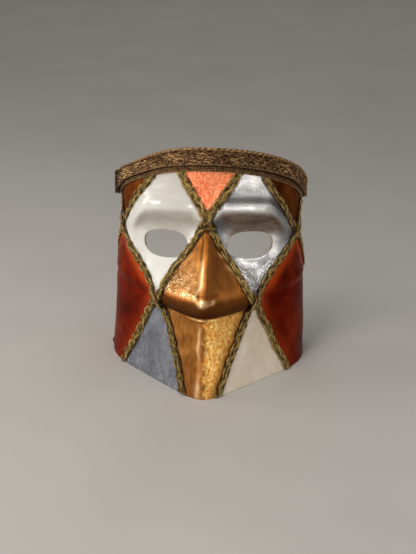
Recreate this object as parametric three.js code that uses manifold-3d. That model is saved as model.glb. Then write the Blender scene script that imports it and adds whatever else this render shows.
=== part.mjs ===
// A bauta mask: one moulded papier-mache face that stands on its flat-cut lower edge, six glued braids that cross over
// the joins of its painted panels, and a wide gimp with a narrow braid under it along the arched top edge.
// Millimetres. X runs across the face, the face looks along -Y, Z is up, and the lower edge lies on z = 0. The form is
// worked out with y = 0 at the widest part of the sides, and the whole object is centred at the end.
// A place on the skin is given as around (0 in the middle of the face, -1 and 1 at the rear edges) and its height.
import * as THREE from "three";
import { mergeVertices } from "three/addons/utils/BufferGeometryUtils.js";
import Module from "manifold-3d";

const wasm = await Module();
wasm.setup();

// Driving sizes of the plan, one value for each level from the lower edge up.
const LEVELS = [0, 84, 128, 158, 226];
const HALF_WIDTHS = [97.5, 94.5, 91.5, 89.5, 89];
const FRONTS = [104, 82, 55, 50, 48];
const CHEEKS = [77.2, 67.2, 66, 65.5, 62];
const SHARPNESS = [11, 10, 7, 5.5, 4.5];
const CHEEK_TURN = THREE.MathUtils.degToRad(44);
const REAR = 36;
const REAR_PULL_IN = 0.03;
const WALL = 2.6;

// The arched top edge.
const TOP_MIDDLE = 226;
const TOP_DROP = 35;
const TOP_DROP_AT = 0.8;

// Brow, eye hollows and eye holes.
const BROW = {
  height: 171.5, rise: 9, above: 15, below: 12.5, sweep: 0.0042, sweepFrom: 20, outerDrop: 13, innerDrop: 8,
};
const HOLLOW = { across: 35, height: 131, halfWidth: 30, halfHeight: 24, depth: 11 };
const EYE = { across: 39.5, height: 129.6, halfWidth: 20.5, halfHeight: 12.6, squareness: 2.5, tiltDeg: 8 };

// Nose: a pyramid with a flat ridge. Its foot is the roll that hangs over the jaw and runs on along the cheeks.
const NOSE = { root: 160, shoulder: 97, rise: 53, foot: 47, dip: 6, ridgeFlat: 2, ridgeRound: 5, tipRound: 7 };
const FLANK = { lowSlope: 0.97, highSlope: 1.85, low: 88, high: 130 };
const ROLL = { depth: 8, reach: 26, fadeFrom: 40, fadeTo: 58, power: 2.2, drop: 6.5, dropFrom: 5, dropTo: 38 };
const LEDGE = 76;
const SOFT_LEDGE = 72;
const BLEND = 3;

// Braids and gimp.
const SEAT = 0.4;
const GLUE_GAP = 0.3;
const BRAID = { width: 7.6, thickness: 2, step: 4.8, scallop: 14.4, wave: 0.5 };
const CROSSING = { lift: 3.5, flat: 7.5, end: 15 };
const GIMP = { top: -1, bottom: 14.6, thickness: 5, bevel: 1.8 };
const EDGE_BRAID = { top: 15.4, bottom: 21, thickness: 2.2 };
const EDGE_GAP = 0.7;
const LOWER_GAP = 1.2;
const BAND_END = 0.985;

// Smooth values between the levels: cubic pieces that never overshoot.
function through(values, z) {
  const slopes = values.slice(1).map((v, i) => (v - values[i]) / (LEVELS[i + 1] - LEVELS[i]));
  const tangents = values.map((_, i) => {
    if (i === 0) return slopes[0];
    if (i === slopes.length) return slopes[i - 1];
    const product = slopes[i - 1] * slopes[i];
    return product > 0 ? (2 * product) / (slopes[i - 1] + slopes[i]) : 0;
  });
  let k = 0;
  while (k < slopes.length - 1 && z > LEVELS[k + 1]) k += 1;
  const length = LEVELS[k + 1] - LEVELS[k];
  const t = (z - LEVELS[k]) / length;
  const start = (1 + 2 * t) * (1 - t) ** 2 * values[k];
  const end = t * t * (3 - 2 * t) * values[k + 1];
  const bend = length * t * (1 - t) * ((1 - t) * tangents[k] - t * tangents[k + 1]);
  return start + end + bend;
}

const ease = (from, to, value) => THREE.MathUtils.smoothstep(value, from, to);

function softMax(a, b, width) {
  const share = THREE.MathUtils.clamp(0.5 + (0.5 * (b - a)) / width, 0, 1);
  return a + (b - a) * share + width * share * (1 - share);
}

// The plan at one height is a rounded outline with one front, two cheek and two side planes. This is its distance from
// the middle of the rear edge in the direction phi. It passes exactly through the half width, and through the front
// wherever the cheek planes don't already cut it off, as they do near the lower edge.
function planRadius(phi, z) {
  const half = through(HALF_WIDTHS, z);
  const front = through(FRONTS, z) + REAR;
  const cheek = through(CHEEKS, z) + REAR * Math.cos(CHEEK_TURN);
  const power = through(SHARPNESS, z);
  const towards = (turn) => Math.max(Math.cos(phi - turn), 0) / cheek;
  const frontShare = THREE.MathUtils.clamp(1 - 2 * ((front * Math.cos(CHEEK_TURN)) / cheek) ** power, 0.02, 1);
  const sideShare = 1 - ((half * Math.sin(CHEEK_TURN)) / cheek) ** power;
  const planes =
    frontShare * (Math.max(Math.cos(phi), 0) / front) ** power +
    sideShare * (Math.abs(Math.sin(phi)) / half) ** power +
    towards(CHEEK_TURN) ** power +
    towards(-CHEEK_TURN) ** power;
  return planes ** (-1 / power);
}

// The bare plan's point: how far across and how far forward.
function planPoint(around, z) {
  const phi = (around * Math.PI) / 2;
  const radius = planRadius(phi, z);
  const forward = radius * Math.cos(phi) - REAR;
  const back = THREE.MathUtils.clamp((4 - forward) / (4 + REAR), 0, 1);
  return [radius * Math.sin(phi) * (1 - REAR_PULL_IN * back * back), forward];
}

// Height of the brow's crest: an arch over each eye.
function browCrest(across) {
  const sweep = BROW.sweep * Math.max(across - BROW.sweepFrom, 0) ** 2;
  return BROW.height - sweep - BROW.outerDrop * ease(56, 76, across) - BROW.innerDrop * (1 - ease(4, 15, across));
}

// Brow ridge and eye hollow, added to the plan.
function browAndHollow(across, z) {
  const crest = browCrest(across);
  const reach = z > crest ? BROW.above : BROW.below;
  const ridge = BROW.rise * Math.exp(-(((z - crest) / reach) ** 2));
  const sideways = Math.abs((across - HOLLOW.across) / HOLLOW.halfWidth) ** 2.6;
  const upwards = Math.abs((z - HOLLOW.height) / HOLLOW.halfHeight) ** 2.6;
  const hollow = HOLLOW.depth * Math.exp(-((sideways + upwards) ** 1.2));
  return (ridge - hollow) * (1 - ease(66, 86, across));
}

// Zero below zero and the value above it, with a round corner of the given width.
function softAbove(value, width) {
  if (value > width) return value;
  const t = THREE.MathUtils.clamp((value + width) / (2 * width), 0, 1);
  return width * t * t;
}

// The nose pyramid's own surface: the ridge rises as it comes down to the tip, and the flanks fall away beside it.
function noseForward(across, z) {
  const t = 1 - softAbove(Math.min(z, NOSE.root) - NOSE.shoulder, NOSE.tipRound) / (NOSE.root - NOSE.shoulder);
  const foot = NOSE.foot - NOSE.dip * Math.sin(0.8 * Math.PI * t);
  const fromRidge = Math.hypot(Math.max(across - NOSE.ridgeFlat, 0), NOSE.ridgeRound) - NOSE.ridgeRound;
  const slope = FLANK.lowSlope + (FLANK.highSlope - FLANK.lowSlope) * ease(FLANK.low, FLANK.high, z);
  const above = Math.max(z - NOSE.root, 0);
  return foot + NOSE.rise * t - fromRidge * slope - 0.02 * above * above;
}

// The roll over the jaw: how much it adds to the face, and the share of nose and roll that is left under its shoulder.
// It turns in along a quarter of an oval down to the ledge, or in a soft slope on the inside.
function rollShape(across, z, inside) {
  const shoulder = NOSE.shoulder - ROLL.drop * ease(ROLL.dropFrom, ROLL.dropTo, across);
  const down = THREE.MathUtils.clamp((shoulder - z) / (shoulder - LEDGE), 0, 1);
  const share = inside ? ease(SOFT_LEDGE, NOSE.shoulder, z) : Math.sqrt(1 - down ** ROLL.power);
  return {
    added: ROLL.depth * (1 - ease(0, ROLL.reach, z - shoulder)),
    share: share * (1 - ease(ROLL.fadeFrom, ROLL.fadeTo, across)),
  };
}

function skin(around, z, inside = false) {
  const [x, planForward] = planPoint(around, z);
  const across = Math.abs(x);
  const face = planForward + browAndHollow(across, z);
  const { added, share } = rollShape(across, z, inside);
  const withNose = softMax(face + added, noseForward(across, z), BLEND);
  return new THREE.Vector3(x, -(face + (withNose - face) * share), z);
}

function slopesOf(around, z, inside = false) {
  const da = 0.002;
  const dz = 0.25;
  const sideways = skin(around + da, z, inside).sub(skin(around - da, z, inside)).divideScalar(2 * da);
  const upwards = skin(around, z + dz, inside).sub(skin(around, z - dz, inside)).divideScalar(2 * dz);
  return { sideways, upwards, normal: sideways.clone().cross(upwards).normalize() };
}

function offSkin(around, z, lift) {
  return skin(around, z).addScaledVector(slopesOf(around, z).normal, lift);
}

const topEdge = (around) => TOP_MIDDLE - TOP_DROP * (around / TOP_DROP_AT) ** 2;

// Closed geometry from rings of points: each ring is joined to the next, and the first and last are closed.
function joinRings(rings) {
  const size = rings[0].length;
  const positions = rings.flat().flatMap((p) => p.toArray());
  const index = [];
  for (let k = 0; k + 1 < rings.length; k += 1) {
    for (let i = 0; i < size; i += 1) {
      const a = k * size + i;
      const b = k * size + ((i + 1) % size);
      index.push(a, a + size, b, b, a + size, b + size);
    }
  }
  const last = (rings.length - 1) * size;
  for (let i = 1; i + 1 < size; i += 1) {
    index.push(0, i, i + 1);
    index.push(last, last + i + 1, last + i);
  }
  return closedGeometry(positions, index);
}

function closedGeometry(positions, index) {
  const geometry = new THREE.BufferGeometry();
  geometry.setAttribute("position", new THREE.Float32BufferAttribute(positions, 3));
  geometry.setIndex(index);
  return geometry;
}

function toSolid(geometry) {
  const bare = geometry.clone();
  bare.deleteAttribute("normal");
  bare.deleteAttribute("uv");
  const merged = mergeVertices(bare, 1e-4);
  return new wasm.Manifold(
    new wasm.Mesh({
      numProp: 3,
      vertProperties: new Float32Array(merged.attributes.position.array),
      triVerts: new Uint32Array(merged.index.array),
    }),
  );
}

function toGeometry(solid) {
  const mesh = solid.getMesh();
  return closedGeometry(Array.from(mesh.vertProperties), Array.from(mesh.triVerts));
}

// Columns stand closest at the chin, and rows at the ledge and the brow.
const COLUMNS = 38;
const LOW_ROWS = [
  0, 15, 30, 45, 60, 71, 75.3, 76.2, 77.6, 80.2, 84, 88.5, 93.5, 99, 106, 115, 124, 133, 141, 148, 154, 160,
];
const HIGH_ROWS = 10;

function columnPlaces() {
  return Array.from({ length: COLUMNS + 1 }, (_, i) => {
    const t = (2 * i) / COLUMNS - 1;
    return t * (0.62 + 0.38 * t * t);
  });
}

function rowHeights(around) {
  const start = LOW_ROWS[LOW_ROWS.length - 1];
  const upper = Array.from({ length: HIGH_ROWS }, (_, j) => {
    const share = ((j + 1) / HIGH_ROWS) ** 1.3;
    return start + share * (topEdge(around) - start);
  });
  return [...LOW_ROWS, ...upper];
}

// The shell: the outer skin, the same skin set in by the wall, and flat rims all round. Grown outwards, it cuts what
// is glued on so that a thin gap is left for the glue.
function shellGeometry(grown = 0) {
  const columns = columnPlaces();
  const rows = LOW_ROWS.length + HIGH_ROWS;
  const outer = columns.map((around) => rowHeights(around).map((z) => offSkin(around, z, grown)));
  const inner = columns.map((around, i) =>
    rowHeights(around).map((z, j) => {
      const point = skin(around, z, true).addScaledVector(slopesOf(around, z, true).normal, -WALL);
      if (j === 0 || j === rows - 1) point.z = z;
      if (i === 0 || i === COLUMNS) point.y = REAR;
      return point;
    }),
  );
  const positions = [...outer.flat(), ...inner.flat()].flatMap((p) => p.toArray());
  const out = (i, j) => i * rows + j;
  const inn = (i, j) => (COLUMNS + 1) * rows + i * rows + j;
  const index = [];
  const quad = (a, b, c, d) => index.push(a, b, c, a, c, d);
  for (let i = 0; i < COLUMNS; i += 1) {
    for (let j = 0; j + 1 < rows; j += 1) {
      quad(out(i, j), out(i + 1, j), out(i + 1, j + 1), out(i, j + 1));
      quad(inn(i, j), inn(i, j + 1), inn(i + 1, j + 1), inn(i + 1, j));
    }
    quad(inn(i, 0), inn(i + 1, 0), out(i + 1, 0), out(i, 0));
    quad(out(i, rows - 1), out(i + 1, rows - 1), inn(i + 1, rows - 1), inn(i, rows - 1));
  }
  for (let j = 0; j + 1 < rows; j += 1) {
    quad(out(0, j), out(0, j + 1), inn(0, j + 1), inn(0, j));
    quad(inn(COLUMNS, j), inn(COLUMNS, j + 1), out(COLUMNS, j + 1), out(COLUMNS, j));
  }
  return closedGeometry(positions, index);
}

// A straight cutter for one eye hole; side is -1 or 1.
function eyeCutter(side) {
  const outline = new THREE.Shape(
    Array.from({ length: 28 }, (_, i) => {
      const turn = (i / 28) * 2 * Math.PI;
      const rounded = (value) => Math.sign(value) * Math.abs(value) ** (2 / EYE.squareness);
      const across = EYE.halfWidth * rounded(Math.cos(turn));
      const point = new THREE.Vector2(across, EYE.halfHeight * rounded(Math.sin(turn)));
      return point.rotateAround(new THREE.Vector2(), THREE.MathUtils.degToRad(-side * EYE.tiltDeg));
    }),
  );
  const cutter = new THREE.ExtrudeGeometry(outline, { depth: 80, bevelEnabled: false });
  cutter.rotateX(Math.PI / 2);
  cutter.translate(side * EYE.across, 0, EYE.height);
  return toSolid(cutter);
}

const grownShell = toSolid(shellGeometry(GLUE_GAP));

const gluedOn = (geometry) => toGeometry(toSolid(geometry).subtract(grownShell));

function maskShell() {
  return toGeometry(toSolid(shellGeometry()).subtract(eyeCutter(-1)).subtract(eyeCutter(1)));
}

// Where the braids cross, and the routes of one side's braids; the other side mirrors them.
const ROOT_CROSSING = [0, 163];
const CHEEK_CROSSING = [0.315, 80.5];
const TEMPLE_CROSSING = [0.745, 137];
const BROW_TO_JAW = [
  [-0.2, 206], [-0.145, 192], [-0.092, 181.5], [-0.041, 171.5], ROOT_CROSSING, [0.057, 145.5], [0.118, 130],
  [0.178, 116.5], [0.24, 103], CHEEK_CROSSING, [0.374, 65], [0.437, 46.5], [0.49, 28.5], [0.555, 10], [0.585, -2],
];
const TEMPLE_TO_CHIN = [
  [1.01, 172], [0.87, 155], TEMPLE_CROSSING, [0.66, 125], [0.575, 115.5], [0.487, 106], [0.403, 95.5], CHEEK_CROSSING,
  [0.263, 71], [0.214, 58], [0.178, 45], [0.143, 31], [0.118, 17], [0.095, 4], [0.085, -3],
];
const BROW_TO_REAR = [
  [0.44, 196], [0.52, 181], [0.6, 166], [0.67, 152], TEMPLE_CROSSING, [0.84, 119], [0.93, 102], [1.01, 87],
];

function braidCurve(route, side) {
  const spread = 100;
  const points = route.map(([around, z]) => new THREE.Vector3(side * around * spread, z, 0));
  const curve = new THREE.CatmullRomCurve3(points, false, "centripetal");
  return (t) => {
    const point = curve.getPoint(t);
    return [point.x / spread, point.y];
  };
}

// Stations along the braid at equal true lengths over the skin.
function stationsAlong(place, step) {
  const fine = Array.from({ length: 401 }, (_, i) => place(i / 400));
  const spots = fine.map(([around, z]) => skin(around, z));
  const lengths = [0];
  spots.slice(1).forEach((spot, i) => lengths.push(lengths[i] + spot.distanceTo(spots[i])));
  const total = lengths[lengths.length - 1];
  const count = Math.round(total / step);
  return Array.from({ length: count + 1 }, (_, k) => {
    const along = (k / count) * total;
    const i = Math.min(Math.max(lengths.findIndex((value) => value >= along), 1), fine.length - 1);
    const heading = spots[i].clone().sub(spots[i - 1]).normalize();
    return { around: fine[i][0], z: fine[i][1], along, heading, spot: spots[i] };
  });
}

// A point beside a station, at a distance across the braid, kept inside the shell's edges and off the edge braid.
function beside(station, distance, lift) {
  const { sideways, upwards, normal } = slopesOf(station.around, station.z);
  const across = normal.clone().cross(station.heading).multiplyScalar(distance);
  const uu = sideways.dot(sideways);
  const uv = sideways.dot(upwards);
  const vv = upwards.dot(upwards);
  const pu = across.dot(sideways);
  const pv = across.dot(upwards);
  const det = uu * vv - uv * uv;
  const around = THREE.MathUtils.clamp(station.around + (pu * vv - pv * uv) / det, -BAND_END, BAND_END);
  const highest = topEdge(around) - EDGE_BRAID.bottom - EDGE_GAP;
  const z = THREE.MathUtils.clamp(station.z + (pv * uu - pu * uv) / det, LOWER_GAP, highest);
  return offSkin(around, z, lift);
}

function crossingLift(spot, crossings) {
  return crossings.reduce((most, [around, z]) => {
    const distance = spot.distanceTo(skin(around, z));
    return Math.max(most, CROSSING.lift * (1 - ease(CROSSING.flat, CROSSING.end, distance)));
  }, 0);
}

// A flat braid with scalloped edges and a crowned back; it humps over the braids that it crosses.
function braidGeometry(route, side, crossings) {
  const over = crossings.map(([around, z]) => [side * around, z]);
  const stations = stationsAlong(braidCurve(route, side), BRAID.step);
  const rings = stations.map((station) => {
    const lift = SEAT + crossingLift(station.spot, over);
    const wave = BRAID.wave * Math.sin((2 * Math.PI * station.along) / BRAID.scallop);
    const left = BRAID.width / 2 + wave;
    const right = BRAID.width / 2 - wave;
    return [
      beside(station, right, lift),
      beside(station, -left, lift),
      beside(station, -0.72 * left, lift + BRAID.thickness),
      beside(station, 0.72 * right, lift + BRAID.thickness),
    ];
  });
  return gluedOn(joinRings(rings));
}

// A band that follows the top edge; section lists distances below the edge with their lifts off the skin.
function bandGeometry(section, steps) {
  const rings = Array.from({ length: steps + 1 }, (_, k) => {
    const around = BAND_END * ((2 * k) / steps - 1);
    return section.map(([below, lift]) => offSkin(around, topEdge(around) - below, lift));
  });
  return joinRings(rings);
}

const GIMP_SECTION = [
  [GIMP.top, SEAT],
  [GIMP.bottom, SEAT],
  [GIMP.bottom, GIMP.thickness - GIMP.bevel],
  [GIMP.bottom - GIMP.bevel, GIMP.thickness],
  [GIMP.top + GIMP.bevel, GIMP.thickness],
  [GIMP.top, GIMP.thickness - GIMP.bevel],
];
const EDGE_BRAID_SECTION = [
  [EDGE_BRAID.top, SEAT],
  [EDGE_BRAID.bottom, SEAT],
  [EDGE_BRAID.bottom, EDGE_BRAID.thickness],
  [EDGE_BRAID.top, EDGE_BRAID.thickness],
];

const painted = new THREE.MeshStandardMaterial({ color: 0xa8482c, roughness: 0.45, metalness: 0.1 });
const oldGold = new THREE.MeshStandardMaterial({ color: 0x6f5c2c, roughness: 0.7, metalness: 0.3 });
const brownGold = new THREE.MeshStandardMaterial({ color: 0x6b4c2a, roughness: 0.75, metalness: 0.2 });

const mask = new THREE.Group();

function add(name, geometry, material) {
  const mesh = new THREE.Mesh(geometry, material);
  mesh.name = name;
  mask.add(mesh);
}

add("mask_shell", maskShell(), painted);
add("top_gimp", bandGeometry(GIMP_SECTION, 48), brownGold);
add("top_edge_braid", bandGeometry(EDGE_BRAID_SECTION, 48), brownGold);
for (const [word, side] of [["left", -1], ["right", 1]]) {
  const rootCrossings = side === -1 ? [ROOT_CROSSING] : [];
  add(`brow_to_${word}_jaw_braid`, braidGeometry(BROW_TO_JAW, side, rootCrossings), oldGold);
  add(`${word}_temple_to_chin_braid`, braidGeometry(TEMPLE_TO_CHIN, side, [CHEEK_CROSSING, TEMPLE_CROSSING]), oldGold);
  add(`brow_to_${word}_rear_braid`, braidGeometry(BROW_TO_REAR, side, []), oldGold);
}

// The origin is under the middle of the whole object's box.
const box = new THREE.Box3().setFromObject(mask);
mask.position.y = -(box.min.y + box.max.y) / 2;

export default mask;
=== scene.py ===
"""A bauta mask: a moulded papier-mache face in painted and leafed panels, plaited braids over the joins of the
panels, and a thick scroll gimp with a narrow corded braid along the arched top edge.

Shapes are worked out in millimetres, as the solids are, and become metres when a mesh is made. A place on the skin is
given as around (0 in the middle of the face, -1 and 1 at the rear edges) and height.
"""
import math

import bpy
import numpy as np
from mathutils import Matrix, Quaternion, Vector


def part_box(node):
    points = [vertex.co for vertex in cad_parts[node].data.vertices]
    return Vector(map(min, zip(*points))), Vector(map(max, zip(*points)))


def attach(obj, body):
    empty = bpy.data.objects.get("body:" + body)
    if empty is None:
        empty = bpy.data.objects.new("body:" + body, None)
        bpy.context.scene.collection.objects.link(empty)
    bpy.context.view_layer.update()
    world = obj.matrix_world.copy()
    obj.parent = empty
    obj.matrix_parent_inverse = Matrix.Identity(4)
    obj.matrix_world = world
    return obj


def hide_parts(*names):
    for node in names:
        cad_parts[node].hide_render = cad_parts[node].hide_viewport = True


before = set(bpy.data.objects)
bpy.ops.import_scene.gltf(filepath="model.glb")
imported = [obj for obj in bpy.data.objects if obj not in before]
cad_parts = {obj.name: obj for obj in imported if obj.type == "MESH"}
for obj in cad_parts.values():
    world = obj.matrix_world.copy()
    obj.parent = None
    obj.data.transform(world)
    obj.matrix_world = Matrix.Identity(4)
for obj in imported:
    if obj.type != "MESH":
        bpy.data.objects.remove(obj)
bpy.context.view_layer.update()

MM = 0.001
REAR = 36.0
# The solids are moved along y so that the origin is under the middle of their box.
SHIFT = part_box("mask_shell")[1].y / MM - REAR

# Driving sizes of the plan, one value for each level from the lower edge up.
LEVELS = np.array([0, 84, 128, 158, 226.0])
HALF_WIDTHS = np.array([97.5, 94.5, 91.5, 89.5, 89])
FRONTS = np.array([104, 82, 55, 50, 48.0])
CHEEKS = np.array([77.2, 67.2, 66, 65.5, 62])
SHARPNESS = np.array([11, 10, 7, 5.5, 4.5])
CHEEK_TURN = math.radians(44)
REAR_PULL_IN, REAR_PULL_FROM = 0.03, 4
WALL = 2.6
TOP_MIDDLE, TOP_DROP, TOP_DROP_AT = 226.0, 35.0, 0.8

# Brow, eye hollows and eye holes.
BROW_HEIGHT, BROW_RISE, BROW_ABOVE, BROW_BELOW = 171.5, 9, 15, 12.5
BROW_SWEEP, BROW_SWEEP_FROM, BROW_OUTER_DROP, BROW_INNER_DROP = 0.0042, 20, 13, 8
BROW_OUTER, BROW_INNER, BROW_FADE = (56, 76), (4, 15), (66, 86)
HOLLOW_ACROSS, HOLLOW_HEIGHT, HOLLOW_HALF_WIDTH, HOLLOW_HALF_HEIGHT, HOLLOW_DEPTH = 35, 131, 30, 24, 11
HOLLOW_POWER, HOLLOW_FLATNESS = 2.6, 1.2
EYE_ACROSS, EYE_HEIGHT, EYE_HALF_WIDTH, EYE_HALF_HEIGHT, EYE_POWER = 39.4, 129.6, 21.4, 12.6, 2.5
EYE_TILT = math.radians(8)
# The right eye hole was cut a little higher than the left one, and the paper's top edge sags on the left.
RIGHT_EYE_RAISED = 1.4
LEFT_SAG, NARROWER, SAG_FALL, SAG_RECOVERY = 6.2, 0.03, (0.1, 0.66), (0.6, 0.95)

# Nose: a pyramid with a flat ridge. Its foot is the roll that hangs over the jaw and runs on along the cheeks.
NOSE_ROOT, NOSE_SHOULDER, NOSE_RISE, NOSE_FOOT, NOSE_DIP = 160, 97, 53, 47, 6
RIDGE_FLAT, RIDGE_ROUND, SHOULDER_ROUND = 1, 8, 7
FLANK_SLOPES, FLANK_LEVELS = (0.97, 1.85), (88, 130)
ROLL_DEPTH, ROLL_REACH, ROLL_FADE, ROLL_POWER = 8, 26, (40, 58), 2.2
SHOULDER_DROP, DROP_FROM, DROP_TO = 6.5, 5, 38
LEDGE, SOFT_LEDGE = 76, 72
BLEND = 3

# Where the braids cross, and the routes of one side's braids; the other side mirrors them.
ROOT_CROSSING, CHEEK_CROSSING, TEMPLE_CROSSING = (0, 163), (0.315, 80.5), (0.745, 137)
BROW_TO_JAW = [
    (-0.2, 206), (-0.145, 192), (-0.092, 181.5), (-0.041, 171.5), ROOT_CROSSING, (0.057, 145.5), (0.118, 130),
    (0.178, 116.5), (0.24, 103), CHEEK_CROSSING, (0.374, 65), (0.437, 46.5), (0.49, 28.5), (0.555, 10), (0.585, -2),
]
TEMPLE_TO_CHIN = [
    (1.01, 172), (0.87, 155), TEMPLE_CROSSING, (0.66, 125), (0.575, 115.5), (0.487, 106), (0.403, 95.5),
    CHEEK_CROSSING, (0.263, 71), (0.214, 58), (0.178, 45), (0.143, 31), (0.118, 17), (0.095, 4), (0.085, -3),
]
BROW_TO_REAR = [
    (0.44, 196), (0.52, 181), (0.6, 166), (0.67, 152), TEMPLE_CROSSING, (0.84, 119), (0.93, 102), (1.01, 87),
]
ROUTES = {"jaw": BROW_TO_JAW, "chin": TEMPLE_TO_CHIN, "rear": BROW_TO_REAR}
# How far each braid was laid off its route by hand, to the right in millimetres, at rising heights.
HAND_SHIFTS = {
    ("jaw", -1): [(163, 0), (181, 1.2), (192, 2.2), (206, 3)],
    ("jaw", 1): [
        (10, -2), (28, -2), (46, -1.2), (65, -1.6), (80, 0.8), (92, -1), (103, -2.7), (130, -2.2), (150, -0.8),
        (163, 0),
    ],
    ("chin", -1): [
        (4, 0), (17, 1), (31, 2), (58, 2.5), (80, 2.5), (97, 1.2), (108, 0), (137, 0), (155, -1.5), (172, -3),
    ],
    ("chin", 1): [
        (0, -2.8), (20, -2.4), (45, -1), (71, -1.2), (80, -2.4), (97, -1.8), (108, -2), (125, -1), (137, 0),
    ],
    ("rear", -1): [(137, 0), (166, 0), (181, 1.2), (196, 3)],
    ("rear", 1): [(119, -1.4), (152, -1.5), (166, -1.8), (181, -3), (196, -3.3)],
}
BRAID_WIDTH = 7.6
LIFT_OVER, LIFT_FLAT, LIFT_END = 2.1, 5.5, 15.0
EDGE_BRAID_BOTTOM, EDGE_GAP, LOWER_GAP, BAND_END = 21.0, 0.7, 1.6, 0.985
SEAT = 0.35
# The cords of a braid, and the plaits of the braids and of the gimp.
CORD_RADIUS, CORD_PACKING, FRAYED_THREADS = 0.37, 1.2, 16
PLAIT_PERIOD, PLAIT_SWING, PLAIT_DEPTH = 48.0, 2.75, 0.45
GIMP_PERIOD, GIMP_SWING, GIMP_DEPTH = 40.0, 5.2, 0.5
STITCH_ROWS, STITCH_TOP, STITCH_BOTTOM = 7, 2.3, 12.6

# Hand work: lumps at the nose's tip as (across, size), the crease and the lip under the nose, and a drop of lacquer;
# and how far the top of the shade painted on the roll falls towards the sides.
TIP_LUMPS, TIP_HEIGHT, TIP_WIDTH = [(-1.5, 2.6), (8.5, 1.1)], 93.5, 6
CREASE_HEIGHT, LIP_HEIGHT = 82, 73.8
LACQUER_AROUND, LACQUER_HEIGHT, LACQUER_SIZE = -0.8, 7, 1.7
SHADE_TOP_DROP = 1.5

# Beads of glue beside the trimmings, and the middle of the wrinkles that run round the nose.
BEAD_SIZE, BEAD_WIDTH, BEAD_FROM_MIDDLE = 0.3, 0.9, 4.7
GIMP_MIDDLE, GIMP_WIDER = 15, 3.2
WRINKLE_CENTRE = (-2, 124)

# The shell's mesh: its columns and rows, which stand closest at the chin and at the ledge, the share of an eye hole
# that is left out of the grid and how far the grid is pulled to its outline, and the bands that round its rims.
COLUMNS, CHIN_CROWDING, LOW_TOP, HIGH_ROWS = 240, 0.38, 160.0, 48
EYE_BLOCK, EYE_PULL = 0.87, 1.9
RIM_BANDS, RIM_BULGE = 6, 0.45
# The distance from a braid that the unseen inside is given.
UNSEEN = 20.0

# The photograph's size in pixels, and the camera that matches it.
FRAME_SIZE, AIM_PIXEL, PIXELS_PER_METRE = (416, 554), (207.6, 259.0), 1066.0
AIM = Vector((0, (SHIFT - 35) * MM, 0.115))
AZIMUTH, ELEVATION, DISTANCE, ROLL = 2.8, 22.0, 1.0, 1.12


# Plain mathematics

def cubic(knots, values, tangents, at):
    """Cubic pieces through the values at the knots, with the given slopes there."""
    k = np.clip(np.searchsorted(knots, at, side="right") - 1, 0, len(knots) - 2)
    length = knots[k + 1] - knots[k]
    t = (at - knots[k]) / length
    start = (1 + 2 * t) * (1 - t) ** 2 * values[k]
    end = t * t * (3 - 2 * t) * values[k + 1]
    return start + end + length * t * (1 - t) * ((1 - t) * tangents[k] - t * tangents[k + 1])


def through(values, height):
    """Smooth values between the levels: cubic pieces that never overshoot."""
    slopes = np.diff(values) / np.diff(LEVELS)
    product = slopes[:-1] * slopes[1:]
    total = slopes[:-1] + slopes[1:]
    inner = np.where(product > 0, 2 * product / np.where(total == 0, 1, total), 0)
    return cubic(LEVELS, values, np.concatenate([slopes[:1], inner, slopes[-1:]]), height)


def ease(low, high, value):
    """0 at low and 1 at high, level at both ends."""
    t = np.clip((value - low) / (high - low), 0, 1)
    return t * t * (3 - 2 * t)


def between(rise, fall, value):
    """0, then 1 past the rise and 0 again past the fall, each eased over its pair of values."""
    return ease(*rise, value) * (1 - ease(*fall, value))


def bell(value):
    """1 at zero, and less on both sides: the exponential of minus the square."""
    return np.exp(-(value**2))


def soft_max(a, b, width):
    """The larger of two values, rounded where they are within the width of each other."""
    share = np.clip(0.5 + 0.5 * (b - a) / width, 0, 1)
    return a + (b - a) * share + width * share * (1 - share)


def unit(vectors):
    return vectors / np.maximum(np.linalg.norm(vectors, axis=-1, keepdims=True), 1e-9)


def lengths_along(points):
    """Running length at each point of a line."""
    return np.concatenate([[0], np.cumsum(np.linalg.norm(np.diff(points, axis=0), axis=1))])


def waves(points, seed, count, shortest, longest):
    """Uneven hand work: a sum of sine waves in random directions, about -1 to 1, with wavelengths in millimetres."""
    random = np.random.default_rng(seed)
    directions = unit(random.normal(size=(count, 3)))
    lengths = shortest * (longest / shortest) ** random.random(count)
    phases = random.random(count) * 2 * np.pi
    turns = points @ (directions / lengths[:, None]).T * 2 * np.pi + phases
    return np.sin(turns).sum(axis=-1) * math.sqrt(2 / count) / 1.6


# The mask's form

def plan_point(around, height):
    """Distance across and forward of the bare plan: a rounded outline with one front, two cheek and two side planes,
    taken as a distance from the middle of the rear edge."""
    phi = around * np.pi / 2
    half = through(HALF_WIDTHS, height)
    front = through(FRONTS, height) + REAR
    cheek = through(CHEEKS, height) + REAR * math.cos(CHEEK_TURN)
    power = through(SHARPNESS, height)
    front_share = np.clip(1 - 2 * (front * math.cos(CHEEK_TURN) / cheek) ** power, 0.02, 1)
    side_share = 1 - (half * math.sin(CHEEK_TURN) / cheek) ** power
    planes = front_share * (np.maximum(np.cos(phi), 0) / front) ** power
    planes = planes + side_share * (np.abs(np.sin(phi)) / half) ** power
    for turn in (CHEEK_TURN, -CHEEK_TURN):
        planes = planes + (np.maximum(np.cos(phi - turn), 0) / cheek) ** power
    radius = planes ** (-1 / power)
    forward = radius * np.cos(phi) - REAR
    back = np.clip((REAR_PULL_FROM - forward) / (REAR_PULL_FROM + REAR), 0, 1)
    return radius * np.sin(phi) * (1 - REAR_PULL_IN * back**2), forward


def brow_crest(across):
    """Height of the brow's crest: an arch over each eye."""
    sweep = BROW_SWEEP * np.maximum(across - BROW_SWEEP_FROM, 0) ** 2
    outer_drop = BROW_OUTER_DROP * ease(*BROW_OUTER, across)
    return BROW_HEIGHT - sweep - outer_drop - BROW_INNER_DROP * (1 - ease(*BROW_INNER, across))


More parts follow.
